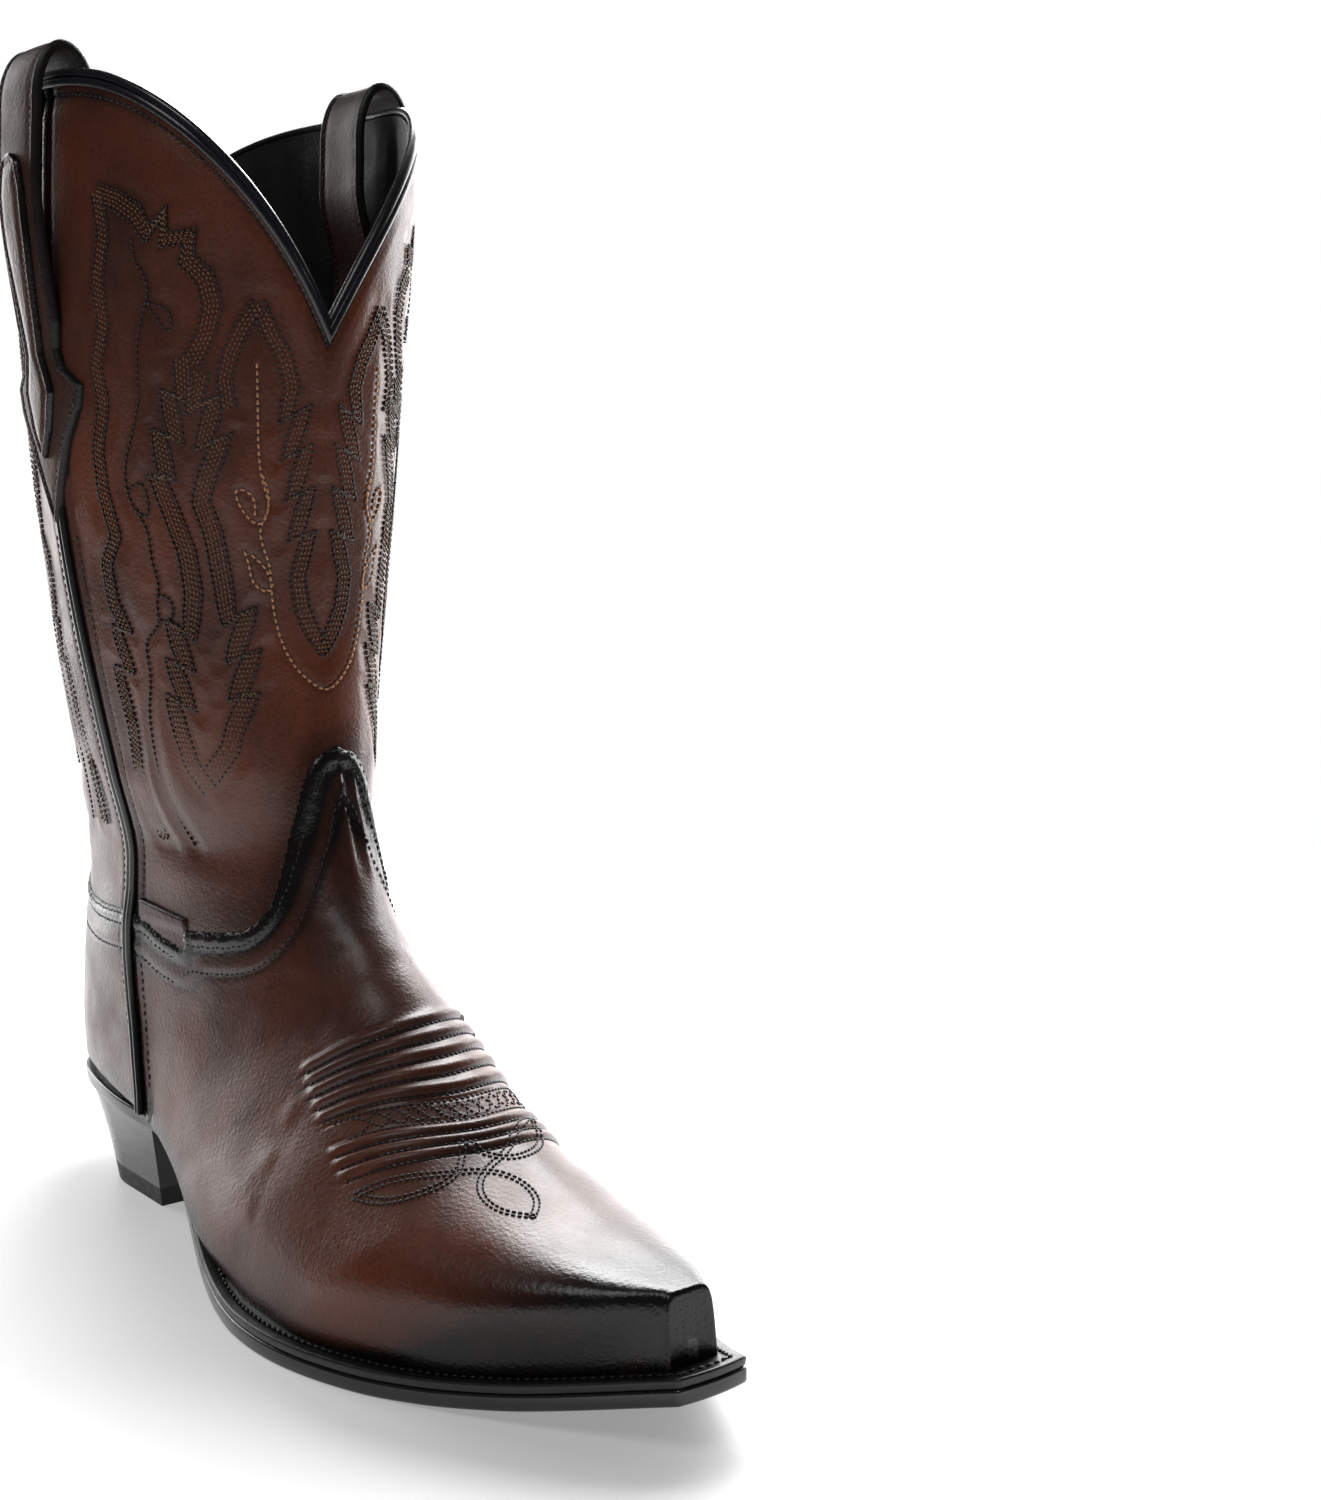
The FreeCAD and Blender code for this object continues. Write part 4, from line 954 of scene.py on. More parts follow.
def clip_grid(columns, fields, rows_count, columns_count):
    """Clips a grid to where all fields are positive. columns holds the values to carry at each grid point."""
    values = list(np.concatenate([columns, fields], axis=1))
    first = columns.shape[1]
    quads = grid_faces(rows_count, columns_count)
    at_corners = fields[quads]
    whole = (at_corners > 0).all(axis=(1, 2))
    gone = (at_corners <= 0).all(axis=1).any(axis=1)
    faces = [list(quad) for quad in quads[whole]]
    made = {}
    for quad in quads[~whole & ~gone]:
        polygon = list(quad)
        for field in range(fields.shape[1]):
            clipped = []
            for one, two in zip(polygon, polygon[1:] + polygon[:1]):
                a, b = values[one][first + field], values[two][first + field]
                if a > 0:
                    clipped.append(one)
                if (a > 0) != (b > 0):
                    key = (min(one, two), max(one, two), field)
                    if key not in made:
                        share = a / (a - b)
                        made[key] = len(values)
                        values.append(values[one] * (1 - share) + values[two] * share)
                    clipped.append(made[key])
            polygon = [c for n, c in enumerate(clipped) if c != clipped[n - 1]]
            if len(polygon) < 3:
                break
        if len(polygon) >= 3:
            faces.append(polygon)
    used = sorted({corner for face in faces for corner in face})
    renumber = {old: new for new, old in enumerate(used)}
    values = np.array([values[index] for index in used])
    return values[:, :first], values[:, first:], [[renumber[c] for c in face] for face in faces]


def border_edges(faces):
    """Directed edges that belong to one face only."""
    edges = dict.fromkeys(edge for face in faces for edge in zip(face, face[1:] + face[:1]))
    return [(one, two) for one, two in edges if (two, one) not in edges]


def closed_sheet(outer, inner, faces):
    """A closed sheet from matching outer and inner points and the outer faces."""
    count = len(outer)
    sheet_faces = [list(face) for face in faces]
    sheet_faces += [[corner + count for corner in reversed(face)] for face in faces]
    sheet_faces += [[two, one, one + count, two + count] for one, two in border_edges(faces)]
    return np.concatenate([outer, inner]), sheet_faces


def grid_normals(grid):
    """Unit normals of a grid of points."""
    return unit(np.cross(np.gradient(grid, axis=0), np.gradient(grid, axis=1)))


def foot_shell(places, half_columns, outer_inset, inner_inset, fields_of):
    """A leather of the foot, clipped: its outer and inner points, normals, field values and faces."""
    outer = foot_grid(places, half_columns, outer_inset)
    inner = foot_grid(places, half_columns, inner_inset)
    normals = grid_normals(outer)
    probe = outer[len(outer) // 2, outer.shape[1] // 2 - 12]
    if normals[len(outer) // 2, outer.shape[1] // 2 - 12] @ (probe - (60.0, 0.0, 40.0)) < 0:
        normals = -normals
    fields = fields_of(outer)
    carried = np.concatenate([outer, inner, normals], axis=-1).reshape(-1, 9)
    rows_count, columns_count = outer.shape[:2]
    values, field_values, faces = clip_grid(carried, fields.reshape(-1, fields.shape[-1]), rows_count,
                                            columns_count)
    first = faces[0]
    turn = np.cross(values[first[1], :3] - values[first[0], :3], values[first[2], :3] - values[first[0], :3])
    if turn @ values[first[0], 6:9] < 0:
        faces = [face[::-1] for face in faces]
    return values[:, :3], values[:, 3:6], values[:, 6:9], field_values, faces


HALF_PIPING = 1.3


def foot_fields(front, collar_shift=0.0, seam_gap=HALF_PIPING):
    """Positive inside the vamp, or inside the counter cover: below the collar, on its side of the seam, above
    the welt."""
    def fields_of(points):
        x, y, z = points[..., 0], points[..., 1], points[..., 2]
        below = collar_level(x, np.abs(y)) + collar_shift - z
        side = (x - seam_x(z) - seam_gap) if front else (seam_x(z) - x - seam_gap)
        above = z - sole_z(x) - FEATHER + 0.1
        return np.stack([below, side, above], -1)
    return fields_of


def edge_distances(points, fields):
    """Distance of every point to the collar edge, the seam edge and the welt edge."""
    distances = []
    for column in range(3):
        on_edge = np.abs(fields[:, column]) < 1e-6
        distances.append(nearest(points[on_edge], points) if on_edge.any() else np.full(len(points), 99.0))
    return distances


def edge_round(distance, radius):
    """1 away from an edge, falling to 0 on it in a quarter round."""
    return np.sqrt(np.clip(1 - (1 - np.minimum(distance / radius, 1)) ** 2, 0, 1))


COLLAR_ROWS = (1.9, 5.2)
LOWER_ROW = 13.5
TUCK_ROW = 1.85      # each tuck's stitch row, ahead of its crest
TUCKS = (136.3, 140.9, 145.5, 150.1, 154.7, 166.8, 170.5, 174.2)
SCROLL_BAND = (158.4, 164.6)
LEAF_AXIS = -11.0
# one side of the leaves below the tucks: the leaf's front edge with its curl, and its rear edge
# that runs on into the loop toward the toe
LEAF_EDGES = [
    [(171.5, 0), (176.5, -3.6), (180.3, -9.5), (178.8, -18.5), (172.5, -25.5), (163, -29)],
    [(163, -29), (168.5, -22), (173.5, -16), (179, -8), (182.5, -0.5), (186.5, 4.4), (192, 6.6), (199, 5.2),
     (204.5, 0)],
]
TUCK_HALF, TUCK_MIDDLE, TUCK_SPREAD = 31.0, -2.5, 0.26
TUCK_BOW, TUCK_FLATTEN = 0.0705, 0.00032   # the tucks bow less toward the toe


def tuck_place(x, y):
    """The place along the vamp of the tuck that would pass here, on its middle line."""
    square = (y - TUCK_MIDDLE) ** 2
    return (x + TUCK_BOW * square) / (1 + TUCK_FLATTEN * square)


def vamp_relief(points, collar, seam):
    """Tucks of the medallion, folds of the tongue and soft creases."""
    x, y, z = points.T
    place = tuck_place(x, y)
    across = np.abs(y - TUCK_MIDDLE)
    held = 1 - ramp(TUCK_HALF - 2.2, TUCK_HALF + 0.4, across - (place - 150) * TUCK_SPREAD)
    on_top = held * ramp(30, 36, z)
    relief = np.zeros(len(x))
    for tuck in TUCKS:
        relief += on_top * (1.1 * bump(place - tuck, 1.45) - 0.5 * bump(place - tuck - TUCK_ROW, 0.5))
    relief -= on_top * 0.3 * (bump(place - SCROLL_BAND[0], 0.5) + bump(place - SCROLL_BAND[1], 0.5))
    width = curve([(v, w) for w, v in TONGUE], z) + 0.5
    fan = np.clip(np.abs(y) / width, 0, 1.2)
    on_tongue = ramp(110, 126, z) * ramp(5.6, 7.5, collar) * (1 - ramp(150, 155, z))
    relief += on_tongue * 0.6 * np.cos(fan * 5.2 * math.pi)
    break_fold = (bump(x - 112 - 0.25 * np.abs(y), 7) * ramp(8, 22, collar)
                  * lumps(points * (2.2, 0.6, 2.2), 14, 11))
    relief += 0.35 * break_fold + 0.22 * lumps(points, 16, 12) * ramp(4, 12, collar) * (1 - on_top)
    ankle = 0.25 * lumps(points * (1, 1, 2.5), 11, 13) * bump(z - 92, 22)
    relief += ankle * ramp(14, 22, collar) * ramp(3, 9, seam)
    return relief


def collar_relief(collar, third_row):
    """The padded collar band, its stitch grooves and the third row lower down."""
    band = 0.75 * np.clip(1 - np.abs((collar - 2.9) / 2.9) ** 4, 0, 1)
    grooves = sum(0.5 * bump(collar - row, 0.55) for row in COLLAR_ROWS)
    lower = third_row * (0.35 * bump(collar - LOWER_ROW + 2.4, 2.4) - 0.4 * bump(collar - LOWER_ROW, 0.7))
    return band - grooves + lower


def seam_side_relief(seam):
    """The edge beside the side seam: a soft roll and a stitch groove."""
    return 0.4 * bump(seam - 3.0, 1.5) - 0.3 * bump(seam - 5.4, 0.6)


def stand_out(relief, collar, seam):
    """How far the skin stands out: its relief, rounded down to half a millimetre thick at its edges."""
    inside = edge_round(np.minimum(collar, seam), 1.2)
    return (relief * inside - (SWELL + LEATHER - 0.5) * (1 - inside))[:, None]


def foot_leather(nodes, outer, inner, faces, burnish_and_shade):
    """A brown leather of the foot, named after the first of the CAD nodes it stands for."""
    vertices, sheet = closed_sheet(outer, inner, faces)
    make_piece(nodes[0], vertices, sheet, BROWN, "brown_leather", nodes, sharp=55, burnish_and_shade=burnish_and_shade)
    remember(nodes[0], outer, faces)


DENSITY = 1.0
vamp_places = np.concatenate([
    np.linspace(3.7, 8.4, int(90 * DENSITY)), np.linspace(8.42, 11.4, int(190 * DENSITY)),
    np.linspace(11.43, 14.0, int(90 * DENSITY)),
    14 + np.array([0.012, 0.03, 0.055, 0.09, 0.25, 0.5, 0.75, 1.0])])
outer, inner, normals, fields, faces = foot_shell(
    vamp_places, int(125 * DENSITY), -SWELL, LEATHER, foot_fields(True))
collar, seam, welt_gap = edge_distances(outer, fields)
relief = (vamp_relief(outer, collar, seam) + collar_relief(collar, 1.0 - ramp(140, 150, outer[:, 2]))
          + seam_side_relief(seam))
x, y, z = outer.T
toe_dark = ramp(184, 240, x + 0.55 * (40 - z))
low_toe = ramp(170, 235, x) * (1 - ramp(14, 34, z - sole_z(x)))
# painted shade in the grooves of the tuck stitch rows
groove = sum(bump(tuck_place(x, y) - tuck - TUCK_ROW, 0.7) for tuck in TUCKS)
groove *= (np.abs(y - TUCK_MIDDLE) < TUCK_HALF) & (z > 36)
# Darkness by vertex: burnished collar band, seam and welt edges, darker toward the toe tip and low on the
# toe, and a darker lower collar row; painted shade in the tuck grooves and, by the last term, in every hollow
# of the relief.
burnish_and_shade = (0.6 * groove + 0.95 * (1 - ramp(5.0, 9.5, collar)) + 0.30 * (1 - ramp(8, 22, collar))
           + 0.7 * bump(seam, 6) + 0.8 * bump(welt_gap, 5.5) + 0.85 * toe_dark + 0.6 * low_toe
           + 0.45 * bump(collar - LOWER_ROW, 1.6)
           + 0.35 * ramp(110, 130, z) + 0.25 * np.clip(-relief, 0, 1))
foot_leather(("vamp", "toe_puff", "vamp_interlining"), outer + normals * stand_out(relief, collar, seam),
             inner, faces, np.clip(burnish_and_shade, 0, 0.97))

counter_places = np.linspace(3.9, 10.4, int(250 * DENSITY))
outer, inner, normals, fields, faces = foot_shell(
    counter_places, int(120 * DENSITY), -SWELL, LEATHER, foot_fields(False))
collar, seam, welt_gap = edge_distances(outer, fields)
relief = (collar_relief(collar, 1.0) + seam_side_relief(seam)
          + 0.25 * lumps(outer, 18, 21) * ramp(6, 16, collar)
          + 0.12 * lumps(outer, 6, 22) * ramp(6, 12, collar))
# Darkness by vertex: burnished collar band, seam and welt edges and a darker lower collar row; painted shade,
# by the last term, in every hollow of the relief.
burnish_and_shade = (0.92 * (1 - ramp(5.0, 9.0, collar)) + 0.30 * (1 - ramp(8, 22, collar)) + 0.7 * bump(seam, 6)
           + 0.75 * bump(welt_gap, 6) + 0.4 * bump(collar - LOWER_ROW, 1.6) + 0.25 * np.clip(-relief, 0, 1))
foot_leather(("counter_cover", "heel_counter"), outer + normals * stand_out(relief, collar, seam), inner,
             faces, np.clip(burnish_and_shade, 0, 0.95))

lining_places = np.linspace(3.7, 13.9, 110)
for name, front in (("vamp_lining", True), ("heel_lining", False)):
    outer, inner, normals, fields, faces = foot_shell(
        lining_places, 50, LEATHER + 1.25, LEATHER + 2.2, foot_fields(front, -2.0, 0.02))
    inner = inner - normals * (0.35 * lumps(outer, 9, 31))[:, None]
    vertices, sheet = closed_sheet(outer, inner, faces)
    make_piece(name, vertices, sheet, LINING, "lining_leather", (name,), sharp=60, burnish_and_shade=0.0)

# ---------------------------------------------------------------- stitching on the foot and round the shaft


def on_surface(name, points):
    """The nearest places on a remembered piece, and its normals there."""
    places, ups = [], []
    for point in points:
        place, up, _, _ = TREES[name].find_nearest(Vector(point))
        places.append(place)
        ups.append(up)
    return np.array(places), np.array(ups)


def from_above(plan):
    """Places of the vamp straight below points in plan, and its normals there."""
    places, ups = [], []
    for x, y in plan:
        place, up, _, _ = TREES["vamp"].ray_cast(Vector((x, y, 140.0)), Vector((0, 0, -1)))
        if place is not None:
            places.append(place)
            ups.append(up)
    return np.array(places), np.array(ups)


def collar_line(front):
    """The collar edge from the lateral seam round to the medial one."""
    q = np.linspace(-1, 1, 420)
    side = np.where(q < 0, LATERAL, MEDIAL)
    share = seam_to_seam(not front, q, side, 98.0)
    return shaft_surface(share, line_at(COLLAR, share, side), side)


def inside_row(edge, ups, distance):
    """A line at a distance down from the collar edge, without its crossings."""
    down = unit(np.cross(unit(np.gradient(edge, axis=0)), ups))
    if down[:, 2].mean() > 0:
        down = -down
    line = edge + down * distance
    clear = nearest(edge, line) > distance * 0.94
    return line[clear]


def seam_row(shift, low, high, side):
    """A line beside the side seam between two heights."""
    z = np.arange(low, high, 1.0)
    x = seam_x(z) + shift
    return np.stack([x, flank(x, z, side), z], -1)


foot_thread = {"vamp": Thread(), "counter_cover": Thread()}
for name, front in (("vamp", True), ("counter_cover", False)):
    edge, ups = collar_line(front)
    for distance in COLLAR_ROWS + (LOWER_ROW,):
        line = inside_row(edge[6:-6], ups[6:-6], distance)
        foot_thread[name].sew(*on_surface(name, line), pitch=2.5, radius=0.36, lift=0.08)
    for side in (LATERAL, MEDIAL):
        row = seam_row(6.6 if front else -6.6, 44, 82, side)
        foot_thread[name].sew(*on_surface(name, row), pitch=2.6, radius=0.34, lift=0.05)


def bowed(place, y):
    """The plan points on a tuck's bow at these widths."""
    return np.stack([place - (TUCK_BOW - TUCK_FLATTEN * place) * (y - TUCK_MIDDLE) ** 2, y], -1)


bows = [(tuck + TUCK_ROW, TUCK_HALF - 0.8 + (tuck - 150) * TUCK_SPREAD) for tuck in TUCKS]
for place, half in bows + [(place, TUCK_HALF - 0.8) for place in SCROLL_BAND]:
    y = np.linspace(TUCK_MIDDLE - half, TUCK_MIDDLE + half, 60)
    foot_thread["vamp"].sew(*from_above(bowed(place, y)), pitch=1.9, cover=0.86, radius=0.4, lift=0.12)
band_middle = sum(SCROLL_BAND) / 2
turns = np.linspace(-1, 1, 260)
for phase in (0.0, math.pi):   # two waves that cross make the running scroll
    y = TUCK_MIDDLE + turns * (TUCK_HALF - 4)
    wave = band_middle + 2.1 * np.sin(turns * 6.5 * math.pi + phase)
    foot_thread["vamp"].sew(*from_above(bowed(wave, y)), pitch=1.6, cover=0.86, radius=0.34, lift=0.12)
for edge in LEAF_EDGES:
    for row in parallel_rows(rounded(edge, 0.8), 2, 1.5):
        for sign in (1, -1):
            plan = row * (1, sign) + (0, LEAF_AXIS)
            foot_thread["vamp"].sew(*from_above(plan), pitch=1.7, cover=0.94, radius=0.36, lift=0.12)
foot_thread["vamp"].make("vamp_thread", THREAD_BLACK, "black_leather")
foot_thread["counter_cover"].make("counter_thread", THREAD_BLACK, "black_leather")

shaft_thread = Thread()
for name, behind in PANELS:
    for side in (LATERAL, MEDIAL):
        share = np.linspace(0.002, 0.47, 300)
        share = 1 - share if behind else share
        points, ups = shaft_surface(share, line_at(RIM, share, side) - RIM_ROW, np.full(300, side))
        shaft_thread.sew(*on_surface(name, points), pitch=2.3, cover=0.82, radius=0.42, lift=0.16)
        row = seam_row(-6.8 if behind else 6.8, 104, 218, side)
        shaft_thread.sew(*on_surface(name, row), pitch=2.5, radius=0.34, lift=0.1)
shaft_thread.make("edge_thread", THREAD_DARK, "dark_leather")

# ---------------------------------------------------------------- linings, rim binding and seam cords

for name, behind in (("shaft_front_lining", False), ("shaft_back_lining", True)):
    q, side, share, z, high = panel_grid(behind, 130, 60, 0.2)
    points, normals = shaft_surface(share, z, side)
    wrinkle = 0.5 * lumps(points * (1, 1, 0.22), 5.0, 41) + 0.5 * lumps(points, 14, 42)
    depth = 2.9 + (wrinkle + 0.3) * 0.8 * ramp(1.5, 8, high - z)
    vertices, faces = thick_grid(points - normals * (LEATHER + 0.08), points - normals * depth[..., None])
    make_piece(name, vertices, faces, LINING, "lining_leather", (name,), sharp=60, burnish_and_shade=0.0)

BEADS = [  # height over the rim line, distance out of the surface, radius along and out
    (1.25, -0.55, 1.5, 1.75), (-1.35, 0.55, 1.35, 1.15)]
for name, behind in (("top_binding_front", False), ("top_binding_back", True)):
    cords = []
    for side in (LATERAL, MEDIAL):
        reach = float(seam_share(350.0, np.array(side)))
        even = np.linspace(0, 1, 170) ** 1.15
        share = 1 - (1 - reach) * even if behind else reach * even
        sides = np.full(len(share), side)
        for up_by, out_by, tall, wide in BEADS:
            points, ups = shaft_surface(share, line_at(RIM, share, side) + up_by, sides)
            line = points + ups * out_by
            cords.append(tube(line, ups, (tall, wide), mitre=line[0, 1]))
    make_piece(name, *combine(cords), BLACK, "black_leather", (name,), sharp=70, burnish_and_shade=0.0)


def flank_normal(x, z, side):
    """Unit normals of the outer surface at places in side view."""
    step = 0.5
    slope_x = (flank(x + step, z, side) - flank(x - step, z, side)) / (2 * step)
    slope_z = (flank(x, z + step, side) - flank(x, z - step, side)) / (2 * step)
    return unit(np.stack([-slope_x, np.ones_like(slope_x), -slope_z], -1) * side)


for name, side in (("side_piping_lateral", LATERAL), ("side_piping_medial", MEDIAL)):
    cords = []
    z = np.arange(352.0, 33.0, -1.0)
    stand = 0.2 + 1.0 * (1 - ramp(221, 236, z)) + SWELL * (1 - ramp(92, 106, z))
    for shift in (-1.15, 1.15):
        x = seam_x(z) + shift
        normal = flank_normal(x, z, side)
        line = np.stack([x, flank(x, z, side), z], -1) + normal * stand[:, None]
        cords.append(tube(line, normal, (1.2, 1.15)))
    make_piece(name, *combine(cords), BLACK, "black_leather", (name,), sharp=70, burnish_and_shade=0.0)

# ---------------------------------------------------------------- pull straps

STRAP_AXIS, STRAP_HALF, STRAP_THICK, STRAP_GAP, STRAP_CREST = 15.0, 13.5, 2.0, 6.4, 361.4
STRAP_OUTLINE = [(1.0, 400), (1.0, 282), (0.87, 274), (1.0, 268.5), (1.62, 263), (1.48, 256),
                 (0.95, 246), (0.4, 231), (0.06, 221.2)]
OVERLAY_OUTLINE = [(0.05, 331.5), (0.42, 328.5), (0.6, 320), (0.6, 306), (0.46, 286), (0.38, 273),
                   (0.66, 261.5), (0.42, 250), (0.05, 241.5)]
LOOP_START, INNER_END = 344.0, 289.0


def share_of_width(outline, z):
    """The share of the strap's width that an outline reaches at heights."""
    pairs = sorted((level, share) for share, level in outline)
    return np.interp(z, [p[0] for p in pairs], [p[1] for p in pairs])


def leg_gap(z, closed, opened):
    """How far a leg of the loop stands off the shaft, from closed to opened."""
    return 0.3 + (STRAP_GAP - 0.3) * ramp(closed, opened, z)


def strap_grid(outline, z_outer, across, side, loop=True):
    """Points of the strap's near face: up the outer leg, over the rim and down the inner leg."""
    width = share_of_width(outline, z_outer)[:, None] * STRAP_HALF
    x = STRAP_AXIS + width * across[None, :]
    z = np.broadcast_to(z_outer[:, None], x.shape)
    y = flank(x, z, side) + side * leg_gap(z, 262.0, 330.0)
    outer = np.stack([x, y, z], -1)
    if not loop:
        return outer
    z_inner = np.arange(LOOP_START, INNER_END, -0.9)
    x = np.broadcast_to(STRAP_AXIS + STRAP_HALF * across[None, :], (len(z_inner), len(across)))
    z = np.broadcast_to(z_inner[:, None], x.shape)
    gap = leg_gap(z, 300.0, 330.0)
    y = flank(x, z, side) - side * (2.8 + 0.8 * gap / STRAP_GAP + gap)
    inner = np.stack([x, y, z], -1)
    start, end = outer[-1], inner[0]
    middle = (start + end) / 2
    half_span = np.linalg.norm(start - end, axis=1) / 2
    turn = np.linspace(0, math.pi, 42)[1:-1, None]
    arch = np.repeat(middle[None], len(turn), axis=0)
    arch[..., 1] += side * half_span * np.cos(turn)
    arch[..., 2] += (STRAP_CREST - middle[:, 2]) * np.sin(turn)
    return np.concatenate([outer, arch, inner])


def strap_relief(edge):
    """A folded strap: thick rolled edges, a groove at the stitching and a flat middle."""
    return 0.55 * bump(edge - 1.5, 1.2) - 0.3 * bump(edge - 2.6, 0.6) + 0.25 * ramp(3, 6, edge)


def facing(grid, side):
    """Unit normals of a strap's grid that face away from the boot on its outer leg."""
    normals = grid_normals(grid)
    return -normals if normals[40, grid.shape[1] // 2, 1] * side < 0 else normals


def sew_edges(thread, top, normals, across, half, inset, rows, pitch, radius):
    """Two stitch rows at an inset from the edges of a strap's top."""
    for sign in (-1, 1):
        column = np.clip(1 - inset / half, 0.02, 1) * sign
        line = np.array([[np.interp(column[row], across, top[row, :, axis]) for axis in range(3)]
                         for row in rows])
        thread.sew(line, normals[rows, len(across) // 2], pitch=pitch, radius=radius, lift=0.1)


for side_name, side in (("lateral", LATERAL), ("medial", MEDIAL)):
    name, flip, thread = "pull_strap_" + side_name, side == MEDIAL, Thread()
    across = np.sin(np.linspace(-1, 1, 41) * math.pi / 2)
    knots = [level for _, level in STRAP_OUTLINE if level < LOOP_START]
    z_outer = np.unique(np.concatenate([np.arange(221.4, LOOP_START, 0.9), knots[:-1]]))
    near = strap_grid(STRAP_OUTLINE, z_outer, across, side)
    normals = facing(near, side)
    half = np.full(len(near), STRAP_HALF)
    half[:len(z_outer)] = share_of_width(STRAP_OUTLINE, z_outer) * STRAP_HALF
    edge = (1 - np.abs(across))[None, :] * half[:, None]
    edge[:len(z_outer)] = np.minimum(edge[:len(z_outer)], (z_outer - 221.0)[:, None] * 0.6)
    stand = STRAP_THICK * (0.25 + 0.75 * edge_round(edge, 1.3)) + strap_relief(edge) * edge_round(edge, 1.3)
    far = near + normals * stand[..., None]
    vertices, faces = thick_grid(far, near, flip)
    dark = np.clip(0.9 * bump(edge, 2.4) + 0.3 * ramp(330, 362, near[..., 2]), 0, 0.95)
    make_piece(name, vertices, faces, DARK, "dark_leather", (name,), sharp=60, burnish_and_shade=dark.ravel())
    sew_edges(thread, far, normals, across, half, 2.6, np.arange(8, len(near)), 2.3, 0.34)

    overlay = "strap_overlay_" + side_name
    level = np.arange(241.6, 331.4, 0.8)
    across = np.sin(np.linspace(-1, 1, 31) * math.pi / 2)
    base = strap_grid(OVERLAY_OUTLINE, level, across, side, loop=False)
    normals = facing(base, side)
    half = share_of_width(OVERLAY_OUTLINE, level) * STRAP_HALF
    edge = np.minimum((1 - np.abs(across))[None, :] * half[:, None],
                      np.minimum(level - 241.0, 332.0 - level)[:, None] * 0.6)
    lift = (STRAP_THICK + 0.3 + 1.5 * edge_round(edge, 1.0) + 0.35 * bump(edge - 1.2, 0.8)
            - 0.25 * bump(edge - 2.1, 0.5) + 0.35 * ramp(2.4, 5, edge))
    top = base + normals * lift[..., None]
    vertices, faces = thick_grid(top, base + normals * (STRAP_THICK - 0.4), flip)
    make_piece(overlay, vertices, faces, OVERLAY, "brown_leather", (overlay,), sharp=60,
               burnish_and_shade=(0.95 * bump(edge, 1.5)).ravel())
    sew_edges(thread, top, normals, across, half, 2.1, np.arange(4, len(level) - 4), 2.1, 0.3)
    thread.make(name + "_thread", THREAD_DARK, "dark_leather")

# a small blank tab tucked into the lateral collar
TAB_CORNERS = ((24.0, 102.8), (51.0, 100.2), (52.0, 90.0), (24.5, 93.0))
s, t = np.linspace(0, 1, 40)[None, :], np.linspace(0, 1, 20)[:, None]
(ax, az), (bx, bz), (cx, cz), (dx, dz) = TAB_CORNERS
tab_x = (ax * (1 - s) + bx * s) * (1 - t) + (dx * (1 - s) + cx * s) * t
tab_z = (az * (1 - s) + bz * s) * (1 - t) + (dz * (1 - s) + cz * s) * t
tab_edge = np.minimum(np.minimum(s, 1 - s) * 27, t * 13)
tab_base = np.stack([tab_x, flank(tab_x, tab_z, LATERAL), tab_z], -1)
tab_out = np.zeros_like(tab_base)
tab_out[..., 1] = -1
tab_lift = 0.5 + 0.5 * edge_round(tab_edge, 0.7) + 0.5 * ramp(95, 98.5, tab_z)
vertices, faces = thick_grid(tab_base + tab_out * tab_lift[..., None], tab_base + tab_out * 0.2, flip=True)
make_piece("label_tab", vertices, faces, TAB, "dark_leather", ("label_tab",), sharp=60,
           burnish_and_shade=(0.8 * bump(tab_edge, 1.0)).ravel())

# ---------------------------------------------------------------- welt, outsole and heel

SEAT = [(8, -37.0), (-12, -36.0), (-32.5, -30.8), (-45.0, -18.8), (-50.5, 0.0), (-45.0, 18.8), (-32.5, 30.8),
        (-12, 36.0), (8, 37.0)]
border = rounded(LATERAL_EDGE[::-1] + SEAT + MEDIAL_EDGE, 1.2)
snip = np.array([(264 + 1.6 * (1 - ((y - 0.5) / 11.0) ** 2), y) for y in np.linspace(11.5, -10.5, 16)])
outline = np.concatenate([border, snip[1:-1]])


def plan_sides(line, closed):
    """Unit directions across a plan line, to its inside, with their mitre lengths."""
    before = np.roll(line, 1, axis=0) if closed else np.concatenate([line[:1], line[:-1]])
    after = np.roll(line, -1, axis=0) if closed else np.concatenate([line[1:], line[-1:]])
    run_in, run_out = line - before, after - line
    for run in (run_in, run_out):
        length = np.linalg.norm(run, axis=1, keepdims=True)
        run /= np.where(length < TINY, 1, length)
    if not closed:
        run_in[0], run_out[-1] = run_out[0], run_in[-1]
    middle = unit(run_in + run_out)
    across = np.stack([-middle[:, 1], middle[:, 0]], -1)
    reach = 1 / np.clip(np.abs(np.sum(middle * run_out, axis=1)), 0.5, 1)
    return across * reach[:, None]


def inner_side(line, closed):
    """plan_sides turned to face the middle of the sole."""
    across = plan_sides(line, closed)
    centre = np.array([110.0, -2.0])
    pick = line[len(line) // 2] + across[len(line) // 2]
    towards = np.linalg.norm(pick - centre) < np.linalg.norm(line[len(line) // 2] - centre)
    return across if towards else -across


def profile_lines(line, profile, closed):
    """A plan line laid out at each (distance inwards, height over the sole line) of a profile."""
    across = inner_side(line, closed)
    lines = []
    for inset, height in profile:
        at = line + across * inset
        lines.append(np.column_stack([at, sole_z(at[:, 0]) + height]))
    return lines


def swept(line, profile):
    """A closed section swept along a plan line."""
    return closed_rings(np.stack(profile_lines(line, profile, False), 1))


def quarter(inset, height, radius, start, steps=4):
    """Points of a rounded corner about a centre, turning a quarter from a start angle in degrees."""
    angles = np.radians(start + 90 * np.arange(steps + 1) / steps)
    return [(inset + radius * math.cos(a), height + radius * math.sin(a)) for a in angles]


